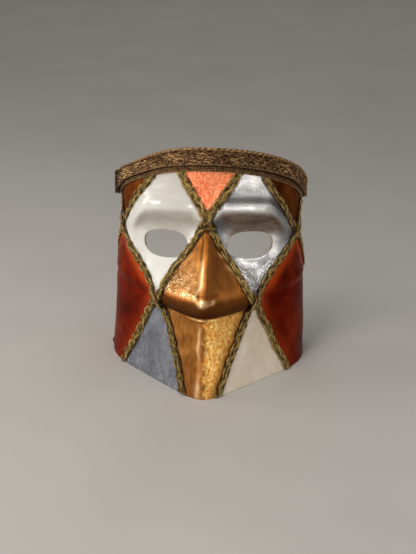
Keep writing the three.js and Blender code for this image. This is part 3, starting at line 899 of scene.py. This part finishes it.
def tuft_at_end(cords, band, random, at_start, count):
    """Cut thread ends at an end of the gimp."""
    place = 0.5 if at_start else band.length - 0.5
    way = band.at(np.array([place, place + 1.0]), 6.0, 3.0)
    outwards = (way[0] - way[1]) if at_start else (way[1] - way[0])
    normal = band.normal_at(np.array([place]))[0]
    t = np.linspace(0, 1, 5)[:, None]
    for _ in range(count):
        below, lift = random.uniform(-0.5, 21), random.uniform(0.8, 4.6)
        start = band.at(np.array([place]), below, lift)[0]
        reach = random.uniform(0.8, 2.8)
        bend = normal * random.uniform(-0.4, 1.4) + np.array([0, 0, random.uniform(-1.3, 1.3)])
        line = start + outwards * (reach * t - 0.4) + bend * t**2
        cords.add(line, np.repeat(normal[None], 5, axis=0), 0.19, random.uniform(0.2, 1))


def add_stitches(cords, band, random):
    """Rows of short bowed stitches of cord that stand up out of the weave, one after another along the band."""
    t = np.linspace(-1, 1, 8)
    for row in np.linspace(STITCH_TOP, STITCH_BOTTOM, STITCH_ROWS):
        place = random.uniform(0, 4)
        while place < band.length - 1:
            middle = band.at(np.array([place + 2.5]), row, 0.0)
            clump = float(waves(middle, 55, 12, 6, 13)[0])
            coarse = 1 + 0.7 * (1 - ease(20, 90, place))
            reach = random.uniform(1.8, 4.2)
            turn, bow = random.normal(0, 0.2), random.uniform(-0.9, 0.9)
            along = place + reach * (1 + t) - bow * t**2 * math.sin(turn)
            below = row + random.uniform(-0.6, 0.6) + reach * t * math.sin(turn) + bow * (t**2 - 0.5)
            lift = 2.8 + 0.5 * clump + random.uniform(0.2, 1.1) * coarse * (1 - t**2)
            cord = random.uniform(0.32, 0.5) * coarse
            # Painted light: a stitch that stands higher in a clump is lighter.
            tone = 0.6 + 0.4 * clump + random.uniform(-0.3, 0.3)
            add_cord(cords, band, along, np.clip(below, 1.2, 13.4), lift, cord, tone)
            place += 2 * reach + random.uniform(-0.4, 2.2)


def add_folded_end(cords, band, place, random):
    """The end of the gimp, folded under: a thick cord of four plies down its edge."""
    below = np.linspace(0.5, 19, 40)
    along = np.full(40, place)
    for ply in range(4):
        turn = below * 2 * np.pi / 5.5 + ply * np.pi / 2
        centre = along + 1.1 * np.cos(turn)
        add_cord(cords, band, centre, below, 3.4 + 1.2 * np.sin(turn), 0.8, random.uniform(0.3, 0.75))


def make_gimp(material):
    """The thick gimp: a base, a wide flat plait, stitches over it, twisted cords along its edges, and ends."""
    random = np.random.default_rng(51)
    band = TopBand(step=0.62)
    cords = Cords(6)
    add_base(cords, band, top=-0.6, bottom=14.6, thick=2.2, sides=12)
    spots = band.at(band.along, below=7.0, lift=0.0)
    turn = 2 * np.pi * band.along / GIMP_PERIOD + 0.8 * waves(spots, 52, 8, 14, 50)
    uneven = 0.5 * waves(spots, 53, 8, 7, 16)

    def place(across, rise):
        return band.at(band.along, 7.2 + across + uneven, 2.1 + rise)

    # The gimp's plait lies under the stitches and is painted darker, as shade.
    plait(cords, place, band.along, turn, band.normal, random, strands=7, members=2, swing=GIMP_SWING,
          depth=GIMP_DEPTH, radius=0.45, light=0.55)
    add_stitches(cords, band, random)
    add_twisted(cords, band, below=-0.5, lift=3.8, radius=0.8, pitch=5.2, tone=0.55, plies=3)
    add_twisted(cords, band, below=14.0, lift=2.7, radius=0.45, pitch=3.0, tone=0.5)
    add_folded_end(cords, band, 1.4, random)
    add_folded_end(cords, band, band.length - 1.2, random)
    tuft_at_end(cords, band, random, at_start=True, count=46)
    tuft_at_end(cords, band, random, at_start=False, count=26)
    cords.finish("top_gimp", material, "brown_gold_gimp")


def make_edge_braid(material):
    """The narrow braid under the gimp: three fine twisted cords side by side on a dark base."""
    band = TopBand(step=0.42)
    cords = Cords(5)
    add_base(cords, band, top=14.8, bottom=21.2, thick=0.6, sides=8)
    for row, below in enumerate((16.9, 18.6, 20.3)):
        add_twisted(cords, band, below, lift=1.25, radius=0.34, pitch=2.9, tone=0.36 + 0.12 * row)
    cords.finish("top_edge_braid", material, "brown_gold_gimp")


# Finishes

def tint(red, green, blue):
    """A colour as it looks on a screen, 0 to 255, as the linear values that a shader wants."""
    values = np.array([red, green, blue]) / 255
    linear = np.where(values <= 0.04045, values / 12.92, ((values + 0.055) / 1.055) ** 2.4)
    return (*linear.tolist(), 1.0)


class Finish:
    """One material: colours laid one over another, and shader nodes whose calls give their main output."""

    def __init__(self, name, plain):
        self.material = bpy.data.materials.new(name)
        self.material.use_nodes = True
        self.tree = self.material.node_tree
        self.shader = self.tree.nodes["Principled BSDF"]
        self.colour = None
        for socket, value in plain.items():
            self.shader.inputs[socket].default_value = value

    def node(self, kind, inputs=None, **settings):
        made = self.tree.nodes.new(kind)
        for key, value in settings.items():
            setattr(made, key, value)
        for socket, value in (inputs or {}).items():
            self.feed(made.inputs[socket], value)
        return made

    def feed(self, socket, value):
        if isinstance(value, bpy.types.NodeSocket):
            self.tree.links.new(value, socket)
        else:
            socket.default_value = value

    def maths(self, operation, first, *others):
        """The first value taken with each of the others in turn, or by itself."""
        for other in others or (0.0,):
            first = self.node("ShaderNodeMath", {0: first, 1: other}, operation=operation).outputs[0]
        return first

    def plus(self, *values):
        return self.maths("ADD", *values)

    def times(self, *values):
        return self.maths("MULTIPLY", *values)

    def spread(self, value, low, high, to_low=0.0, to_high=1.0):
        """A value from low to high becomes to_low to to_high, eased."""
        inputs = {"Value": value, "From Min": low, "From Max": high, "To Min": to_low, "To Max": to_high}
        return self.node("ShaderNodeMapRange", inputs, interpolation_type="SMOOTHSTEP").outputs[0]

    def places(self, stretch=(1, 1, 1), turn=(0, 0, 0)):
        """Object coordinates, stretched and turned."""
        coordinates = self.node("ShaderNodeTexCoord").outputs["Object"]
        return self.node("ShaderNodeMapping", {"Vector": coordinates, "Scale": stretch, "Rotation": turn}).outputs[0]

    def part(self, axis):
        """One of the Object coordinates, in metres."""
        coordinates = self.node("ShaderNodeTexCoord").outputs["Object"]
        return self.node("ShaderNodeSeparateXYZ", {"Vector": coordinates}).outputs[axis]

    def mark(self, name):
        """A number that the mesh carries for each point: on the shell from_braid, the millimetres to the nearest
        braid, shade, where shade is painted, crest and bright, where highlights and shade are painted on the leaf,
        and arc, the millimetres from a point high on the nose; on cords tone, partly painted light and shade."""
        return self.node("ShaderNodeAttribute", attribute_name=name).outputs["Fac"]

    def noise(self, size, detail=3.0, rough=0.55, stretch=(1, 1, 1), turn=(0, 0, 0), distortion=0.0):
        """Cloudy values, 0 to 1, whose patches are about size millimetres across."""
        inputs = {
            "Vector": self.places(stretch, turn), "Scale": 1 / (size * MM), "Detail": detail, "Roughness": rough,
            "Distortion": distortion,
        }
        return self.node("ShaderNodeTexNoise", inputs).outputs["Fac"]

    def ridges(self, value, pitch, sharp=1.0):
        """Ridges along a value, one for each pitch: a sine, 0 to 1."""
        return self.spread(self.maths("SINE", self.times(value, 2 * math.pi / pitch)), -sharp, sharp)

    def folds(self, pitch, lowest, highest):
        """Folds in the leaf that run beside a braid, between two heights, and die out away from it."""
        up, gap = self.part("Z"), self.mark("from_braid")
        wander = self.spread(self.noise(9, 2), 0.25, 0.75, -2.2, 2.2)
        below = self.spread(up, highest + 0.008, highest - 0.008)
        above = self.spread(up, lowest - 0.006, lowest + 0.006)
        return self.times(self.ridges(self.plus(gap, wander), pitch), below, above, self.spread(gap, 11.5, 5.0))

    def ramp(self, value, stops):
        """Colours along a value: stops are a place and a colour, 0 to 255."""
        made = self.node("ShaderNodeValToRGB", {"Fac": value})
        elements = made.color_ramp.elements
        while len(elements) < len(stops):
            elements.new(0.5)
        for element, (place, *colour) in zip(elements, stops):
            element.position = place
            element.color = tint(*colour)
        return made.outputs["Color"]

    def blend(self, share, first, second, kind="MIX"):
        inputs = {"Factor": share, "A": first, "B": second}
        return self.node("ShaderNodeMix", inputs, data_type="RGBA", blend_type=kind).outputs["Result"]

    def ground(self, value, stops):
        """The colours under all the others."""
        self.colour = self.ramp(value, stops)

    def lay(self, share, colour):
        """Lays a colour, 0 to 255 or worked out by nodes, over what is there."""
        over = tint(*colour) if isinstance(colour, tuple) else colour
        self.colour = self.blend(share, self.colour, over)

    def dirt_and_shade_beside_braids(self, dirt_and_shade_colour, strength):
        """Darkens a panel close to the braids, in an uneven line: dirt and painted shade beside them."""
        wander = self.spread(self.noise(6, 2), 0.3, 0.7, 0.0, 1.6)
        self.lay(self.spread(self.plus(self.mark("from_braid"), wander), 4.2, 6.4, strength, 0.0), dirt_and_shade_colour)

    def finish(self, roughness, bumps=(), metallic=None):
        """Joins the colour, the roughness and the bumps, each a height and its millimetres, to the shader."""
        normal = None
        for height, millimetres in bumps:
            inputs = {"Height": height, "Distance": millimetres * MM, "Strength": 1.0}
            if normal is not None:
                inputs["Normal"] = normal
            normal = self.node("ShaderNodeBump", inputs).outputs[0]
        ends = {"Base Color": self.colour, "Roughness": roughness, "Normal": normal, "Metallic": metallic}
        for socket, value in ends.items():
            if value is not None:
                self.feed(self.shader.inputs[socket], value)
        return self.material


def white_enamel():
    """White enamel, brushed on: painted shade high up and on what faces down, and a polished band along the brow."""
    f = Finish("white_enamel", {"Coat Weight": 0.1, "Coat Roughness": 0.15, "Specular IOR Level": 0.5})
    up = f.part("Z")
    strokes = f.noise(9, 3, stretch=(0.25, 1, 3.2), turn=(0, 0.12, 0))
    f.ground(f.noise(26, 2), [(0.3, 202, 200, 192), (0.7, 217, 215, 208)])
    f.lay(f.spread(strokes, 0.5, 0.8, 0, 0.3), (196, 190, 178))
    # Painted shade: darker from the brow up.
    f.lay(f.spread(up, 0.164, 0.184, 0, 0.85), (180, 176, 167))
    # Painted shade on what faces down and under the brow.
    f.lay(f.times(f.mark("shade"), 0.4), (150, 137, 118))
    f.dirt_and_shade_beside_braids((130, 112, 84), 0.4)
    band = f.times(f.spread(up, 0.165, 0.169), f.spread(up, 0.181, 0.176))
    polished = f.times(band, f.spread(strokes, 0.36, 0.5, 0.35, 1.0))
    satin = f.spread(strokes, 0.3, 0.7, 0.4, 0.55)
    return f.finish(f.spread(polished, 0, 1, satin, 0.12), [(f.noise(2.4, 2), 0.015), (strokes, 0.12)])


def silver_leaf():
    """Silver leaf: a painted highlight along the brow's crest and a painted dark band above it, a painted bluish
    reflection beside the nose, painted shade below and at the outer side, and crumpled and folded low down."""
    f = Finish("silver_leaf", {"Metallic": 1.0})
    across, up, crest = f.part("X"), f.part("Z"), f.mark("crest")
    fine = f.noise(1.8, 3, 0.6)
    rubbed = f.noise(5, 3, stretch=(0.35, 1, 2.4), turn=(0, -0.2, 0), distortion=0.4)
    f.ground(f.noise(14, 3, 0.5), [(0.3, 216, 216, 218), (0.6, 246, 244, 241), (0.8, 252, 250, 247)])
    f.lay(f.spread(fine, 0.46, 0.66, 0, 0.4), (162, 162, 166))
    # Painted dark band above the brow's crest, as a dark reflection.
    f.lay(f.spread(crest, 0.0, -0.85, 0, 0.9), (96, 94, 94))
    # Painted shade, bluish grey, at the outer side above the eye.
    f.lay(f.times(f.spread(across, 0.052, 0.070), f.spread(up, 0.120, 0.132), 0.6), (104, 108, 116))
    # Painted brown shade on what faces down and under the brow.
    f.lay(f.times(f.mark("shade"), 0.95), f.ramp(rubbed, [(0.35, 114, 94, 76), (0.65, 148, 128, 108)]))
    # Painted bluish reflection beside the nose.
    beside_nose = f.times(f.spread(across, 0.024, 0.010), f.spread(up, 0.166, 0.158), f.spread(up, 0.138, 0.148))
    f.lay(f.times(beside_nose, 0.75), (112, 124, 142))
    # Painted highlight along the brow's crest.
    f.lay(f.times(f.spread(crest, 0.2, 0.9, 0, 0.8), f.spread(across, 0.062, 0.050)), (252, 250, 246))
    f.dirt_and_shade_beside_braids((60, 56, 52), 0.6)
    roughness = f.times(f.spread(rubbed, 0.3, 0.75, 0.34, 0.46), f.spread(up, 0.110, 0.124, 0.72, 1.0))
    crumples = f.times(f.noise(14, 2, 0.4, distortion=0.7), f.spread(up, 0.122, 0.108))
    bumps = [(f.folds(2.9, 0.080, 0.116), 0.7), (fine, 0.08), (rubbed, 0.1), (crumples, 0.55)]
    return f.finish(roughness, bumps)


def coral_leaf():
    """Coral leaf with pale specks."""
    f = Finish("coral_leaf", {"Metallic": 0.3, "Specular IOR Level": 0.3})
    specks = f.noise(1.9, 4, 0.65)
    f.ground(specks, [(0.3, 226, 92, 50), (0.5, 252, 140, 90), (0.68, 255, 196, 150)])
    f.lay(f.spread(f.noise(9, 3), 0.45, 0.7, 0, 0.3), (240, 110, 66))
    f.dirt_and_shade_beside_braids((130, 44, 24), 0.7)
    return f.finish(f.spread(specks, 0.3, 0.7, 0.34, 0.5), [(specks, 0.08)])


def copper_leaf():
    """Copper leaf: painted shade on the nose's right and its root, painted light on its left in wrinkles round it,
    painted shade on the roll, painted highlights where it stands out, and crumpled gold on the right of the chin."""
    f = Finish("copper_leaf", {"Metallic": 1.0, "Specular Tint": (1.0, 0.85, 0.7, 1)})
    across, up, shade, bright = f.part("X"), f.part("Z"), f.mark("shade"), f.mark("bright")
    cloud, slow = f.noise(13, 3), f.noise(8, 2, 0.5)
    streaks = f.noise(5, 3, stretch=(1.6, 1.6, 0.3), distortion=0.6)
    f.ground(cloud, [(0.3, 154, 97, 44), (0.55, 177, 116, 58), (0.78, 198, 138, 76)])
    f.lay(f.spread(streaks, 0.47, 0.66, 0, 0.5), (126, 70, 30))

    on_nose = f.spread(up, 0.075, 0.082)
    # Painted shade: the nose's right side and its root are darker.
    wear_and_shade = f.maths("MAXIMUM", f.spread(across, -0.004, 0.003), f.spread(up, 0.122, 0.136))
    nose_shade = f.ramp(f.spread(across, 0.003, 0.022), [(0.1, 104, 60, 25), (0.9, 178, 110, 52)])
    f.lay(f.times(wear_and_shade, 0.8, on_nose), nose_shade)

    # Painted light: the nose's left flank is brighter, with highlights in its wrinkles towards the shoulder.
    kept = f.times(f.spread(across, -0.003, -0.011), f.spread(up, 0.132, 0.110), f.spread(shade, 0.6, 0.1), on_nose)
    round_nose = f.plus(f.mark("arc"), f.spread(slow, 0.25, 0.75, -4, 4))
    wrinkles = f.times(f.ridges(round_nose, 3.6), f.spread(f.noise(7, 2), 0.38, 0.58))
    leaf = f.ramp(slow, [(0.34, 154, 100, 50), (0.5, 182, 128, 72), (0.66, 212, 156, 98)])
    lit = f.times(f.spread(wrinkles, 0.1, 0.8), f.spread(up, 0.116, 0.099, 0.1, 0.9))
    f.lay(kept, f.blend(lit, leaf, tint(255, 218, 164)))

    # Painted shade on the roll and on what faces down, darkest at the bottom.
    f.lay(f.times(shade, 0.94), f.ramp(f.spread(up, 0.077, 0.094), [(0.05, 58, 27, 8), (0.9, 108, 58, 22)]))
    # Painted shade in the dip between ridge and tip.
    f.lay(f.spread(bright, 0, -1, 0, 0.75), (104, 56, 22))
    # Painted highlights on the ridge, the tip, the lip, the chin's edge and the fold.
    f.lay(f.times(f.spread(bright, 0, 1), f.spread(streaks, 0.3, 0.6, 0.6, 1.0)), (255, 214, 156))

    crinkle = f.noise(2.6, 4, 0.6, stretch=(1.1, 1, 0.8), distortion=0.5)
    gold = f.ramp(crinkle, [(0.36, 206, 126, 48), (0.5, 248, 182, 84), (0.64, 255, 228, 150)])
    right = f.spread(f.plus(across, f.spread(f.noise(6, 2), 0.3, 0.7, -0.002, 0.002)), -0.001, 0.004)
    away = f.spread(f.mark("from_braid"), 5.0, 12.5, 0.25, 1.0)
    on_chin = f.times(f.spread(up, 0.080, 0.070), right, away)
    f.lay(on_chin, gold)
    f.dirt_and_shade_beside_braids((64, 30, 10), 0.75)
    roughness = f.blend(on_chin, f.spread(cloud, 0.3, 0.75, 0.38, 0.48), f.spread(crinkle, 0.3, 0.7, 0.46, 0.32))
    lumps = f.noise(6, 4, 0.55, distortion=0.5)
    bumps = [
        (f.folds(3.2, 0.088, 0.132), 0.4), (lumps, 0.15), (streaks, 0.12), (f.times(wrinkles, kept), 0.2),
        (f.times(crinkle, on_chin), 0.4),
    ]
    return f.finish(roughness, bumps, f.spread(on_chin, 0, 1, 1.0, 0.6))


def red_lacquer(name, dark, middle, light, edge):
    """Tinted lacquer over metal, in dark, middle and light patches, with a highlight painted in the edge's colour
    beside the braids.
    """
    f = Finish(name, {"Metallic": 0.85, "Specular IOR Level": 0.1, "Specular Tint": (1.0, 0.76, 0.7, 1)})
    strokes = f.noise(5, 3, stretch=(1.4, 1.4, 0.3), distortion=0.3)
    f.ground(f.noise(24, 3, 0.5, stretch=(1, 1, 0.7)), [(0.32, *dark), (0.52, *middle), (0.72, *light)])
    f.lay(f.spread(strokes, 0.48, 0.7, 0, 0.45), dark)
    # Painted highlight beside the braids, stronger higher up.
    beside = f.spread(f.mark("from_braid"), 17, 4.4, 0, 0.8)
    f.lay(f.times(beside, f.spread(f.part("Z"), 0.06, 0.09, 0.3, 1.0)), edge)
    return f.finish(f.spread(strokes, 0.3, 0.7, 0.32, 0.44), [(f.noise(1.8, 2), 0.03), (strokes, 0.1)])


def slate_wash():
    """A slate wash over metal, swirled, and scratched pale towards the lower edge."""
    f = Finish("slate_wash", {"Metallic": 0.45})
    swirl = f.noise(9, 4, 0.6, stretch=(1, 1, 0.7), distortion=1.0)
    scratches = f.noise(2.4, 4, 0.65, stretch=(1, 1, 0.5), distortion=0.8)
    f.ground(f.noise(22, 3, 0.5, distortion=0.6), [(0.3, 90, 92, 99), (0.55, 108, 110, 118), (0.75, 128, 130, 137)])
    f.lay(f.spread(swirl, 0.5, 0.62, 0, 0.5), (142, 144, 151))
    f.lay(f.times(f.spread(scratches, 0.45, 0.68), f.spread(f.part("Z"), 0.025, 0.0, 0.12, 0.7)), (176, 179, 187))
    f.dirt_and_shade_beside_braids((48, 44, 40), 0.6)
    return f.finish(f.spread(swirl, 0.3, 0.7, 0.5, 0.4), [(swirl, 0.06), (scratches, 0.05)])


def cream_paint():
    """Cream paint with upright brush strokes."""
    f = Finish("cream_paint", {"Specular IOR Level": 0.35})
    strokes = f.noise(7, 3, stretch=(0.4, 0.4, 2), turn=(0, 0.25, 0))
    f.ground(f.noise(20, 3), [(0.3, 210, 194, 172), (0.7, 224, 212, 194)])
    f.lay(f.spread(strokes, 0.5, 0.8, 0, 0.35), (196, 178, 154))
    f.dirt_and_shade_beside_braids((120, 98, 68), 0.5)
    return f.finish(f.spread(strokes, 0.3, 0.7, 0.42, 0.56), [(strokes, 0.06)])


def corner_bronze(name, dark, middle, light):
    """Brushed bronze paint, from dark to light."""
    f = Finish(name, {"Metallic": 0.75, "Specular IOR Level": 0.12, "Specular Tint": (1.0, 0.62, 0.42, 1)})
    brushed = f.noise(12, 3, stretch=(1, 1, 0.6), distortion=0.5)
    f.ground(brushed, [(0.3, *dark), (0.5, *middle), (0.72, *light)])
    f.dirt_and_shade_beside_braids((44, 22, 10), 0.6)
    return f.finish(f.spread(brushed, 0.3, 0.7, 0.4, 0.54), [(brushed, 0.07)])


def raw_paper():
    """Torn pieces of pasted brown paper, each of its own shade and standing a little proud of the next."""
    f = Finish("raw_paper", {"Specular IOR Level": 0.3})
    torn = f.node("ShaderNodeTexNoise", {"Vector": f.places(), "Scale": 70.0, "Detail": 4.0}).outputs["Color"]
    spots = f.blend(0.03, f.places((0.5, 0.5, 1.1), (0.4, 0.3, 0)), torn, "ADD")
    pieces = [f.node("ShaderNodeTexVoronoi", {"Vector": spots, "Scale": scale}) for scale in (42.0, 66.0)]
    shades = [f.node("ShaderNodeSeparateColor", {"Color": piece.outputs["Color"]}).outputs[0] for piece in pieces]
    height = f.plus(shades[0], f.times(shades[1], 0.6))
    fibre = f.noise(1.1, 4, 0.7)
    f.ground(f.maths("DIVIDE", height, 1.6), [(0.1, 150, 120, 84), (0.5, 172, 144, 106), (0.9, 190, 165, 128)])
    f.lay(f.spread(fibre, 0.5, 0.8, 0, 0.35), (208, 188, 154))
    f.lay(f.spread(f.noise(35, 3), 0.5, 0.75, 0, 0.45), (124, 92, 58))
    return f.finish(f.spread(shades[0], 0, 1, 0.62, 0.82), [(fibre, 0.1), (height, 0.35)])


def metal_thread(name, dark, middle, light):
    """Cords wound with flat metal thread: slanting ridges that follow each cord, and a shade for each cord."""
    f = Finish(name, {"Metallic": 0.7})
    along = f.node("ShaderNodeSeparateXYZ", {"Vector": f.node("ShaderNodeTexCoord").outputs["UV"]}).outputs
    ridge = f.ridges(f.plus(f.times(along["X"], 1.25), along["Y"]), 1.0, 0.9)
    wear_and_shade = f.noise(1.7, 3, 0.6)
    f.ground(f.plus(f.times(f.mark("tone"), 0.55), wear_and_shade, -0.12), [(0.3, *dark), (0.6, *middle), (0.9, *light)])
    # Painted shade in the grooves between the ridges.
    f.lay(f.spread(ridge, 0.0, 0.6, 0.55, 0.0), dark)
    return f.finish(f.spread(wear_and_shade, 0.3, 0.7, 0.36, 0.56), [(ridge, 0.12)])


def panel_materials():
    """The finish of each panel; the temple panels are painted as the lower ones of their side are."""
    cream, slate = cream_paint(), slate_wash()
    return {
        "copper": copper_leaf(),
        "coral": coral_leaf(),
        "white": white_enamel(),
        "silver": silver_leaf(),
        "red_left": red_lacquer("red_lacquer_left", (84, 12, 2), (126, 30, 5), (150, 48, 14), (214, 84, 34)),
        "red_right": red_lacquer("red_lacquer_right", (74, 8, 0), (116, 22, 2), (144, 44, 10), (216, 88, 34)),
        "slate": slate,
        "cream": cream,
        "corner_left": corner_bronze("corner_brown", (88, 38, 10), (112, 53, 16), (130, 68, 24)),
        "corner_right": corner_bronze("corner_bronze", (76, 30, 6), (102, 50, 12), (128, 72, 22)),
        "temple_left": slate,
        "temple_right": cream,
        "paper": raw_paper(),
    }


# Stage, light and camera

def direction(azimuth, elevation):
    """From the target towards a camera or a light: azimuth 0 is in front of the face."""
    a, e = math.radians(azimuth), math.radians(elevation)
    return Vector((math.sin(a) * math.cos(e), -math.cos(a) * math.cos(e), math.sin(e)))


def put_on_stage(name, data, target, towards, distance, roll=0.0):
    """A camera or a light at a distance from the target, turned to face it."""
    made = bpy.data.objects.new(name, data)
    bpy.context.scene.collection.objects.link(made)
    made.location = target + towards * distance
    made.rotation_mode = "QUATERNION"
    made.rotation_quaternion = (-towards).to_track_quat("-Z", "Y") @ Quaternion((0, 0, 1), math.radians(roll))
    return made


def add_camera():
    """The photograph's view: the lens and its shift put the aim point on its pixel at the photograph's scale."""
    data = bpy.data.cameras.new("camera")
    data.sensor_width = 36
    data.lens = PIXELS_PER_METRE * DISTANCE / FRAME_SIZE[1] * data.sensor_width
    data.shift_x = -(AIM_PIXEL[0] - FRAME_SIZE[0] / 2) / FRAME_SIZE[1]
    data.shift_y = (AIM_PIXEL[1] - FRAME_SIZE[1] / 2) / FRAME_SIZE[1]
    data.clip_start, data.clip_end = 0.05, 50
    bpy.context.scene.camera = put_on_stage("camera", data, AIM, direction(AZIMUTH, ELEVATION), DISTANCE, ROLL)


def add_softbox(name, azimuth, elevation, distance, size, watts, colour=(1, 1, 1), target=AIM):
    data = bpy.data.lights.new(name, "AREA")
    data.shape = "RECTANGLE"
    data.size, data.size_y = size
    data.energy = watts
    data.color = colour
    put_on_stage(name, data, target, direction(azimuth, elevation), distance)


def add_floor():
    half = 6000.0
    points = np.array([(-half, -half, 0), (half, -half, 0), (half, half, 0), (-half, half, 0)])
    floor = new_object("floor", points, np.array([[0, 1, 2, 3]]))
    f = Finish("pale_floor", {"Specular IOR Level": 0.2})
    f.ground(f.noise(160, 2), [(0.3, 176, 173, 168), (0.7, 182, 179, 174)])
    floor.data.materials.append(f.finish(0.6))


def add_world():
    world = bpy.data.worlds.new("studio")
    world.use_nodes = True
    background = world.node_tree.nodes["Background"].inputs
    background["Color"].default_value = tint(196, 193, 190)
    background["Strength"].default_value = 0.25
    bpy.context.scene.world = world


def light_the_stage():
    add_world()
    add_softbox("key", -32, 50, 1.3, (0.54, 0.4), 9.0, (1, 0.97, 0.93))
    add_softbox("brow_bar", 58, 46, 1.2, (0.8, 0.08), 1.5, (1, 0.98, 0.96))
    add_softbox("left_strip", -98, 13, 1.0, (0.25, 0.45), 1.8, (1, 0.96, 0.92))
    add_softbox("right_strip", 84, 20, 1.1, (0.2, 0.5), 0.6, (1, 0.96, 0.92))
    add_softbox("left_side", -77, 12, 1.2, (0.34, 0.14), 3.2, (1, 0.98, 0.95))
    add_softbox("low_left_front", -26, 8, 1.2, (0.34, 0.34), 3.1, (1, 0.96, 0.92))
    add_softbox("low_right_front", 44, 3, 1.2, (0.9, 0.4), 2.2, (1, 0.97, 0.94))
    add_softbox("top", 10, 78, 1.2, (0.6, 0.4), 1.0)
    add_softbox("backdrop", 180, 84, 2.2, (3.0, 1.6), 15, (1, 0.99, 0.97), Vector((0, 1.9, 0)))
    view = bpy.context.scene.view_settings
    view.view_transform = "Standard"
    view.look = "None"


# The whole mask

add_camera()
light_the_stage()
add_floor()
make_shell(panel_materials())
gold = metal_thread("old_gold_thread", (24, 16, 7), (112, 88, 46), (224, 190, 112))
brown = metal_thread("brown_gold_thread", (26, 15, 8), (124, 88, 53), (226, 182, 126))
for word, side, seed in (("left", -1, 100), ("right", 1, 200)):
    root = [ROOT] if side == -1 else []
    make_braid(f"brow_to_{word}_jaw_braid", LINES["jaw", side], root, seed, gold, [True])
    over = [CHEEKS_MEET[side], TEMPLES_MEET[side]]
    make_braid(f"{word}_temple_to_chin_braid", LINES["chin", side], over, seed + 20, gold, [False, True])
    make_braid(f"brow_to_{word}_rear_braid", LINES["rear", side], [], seed + 40, gold, [True])
make_gimp(brown)
make_edge_braid(brown)
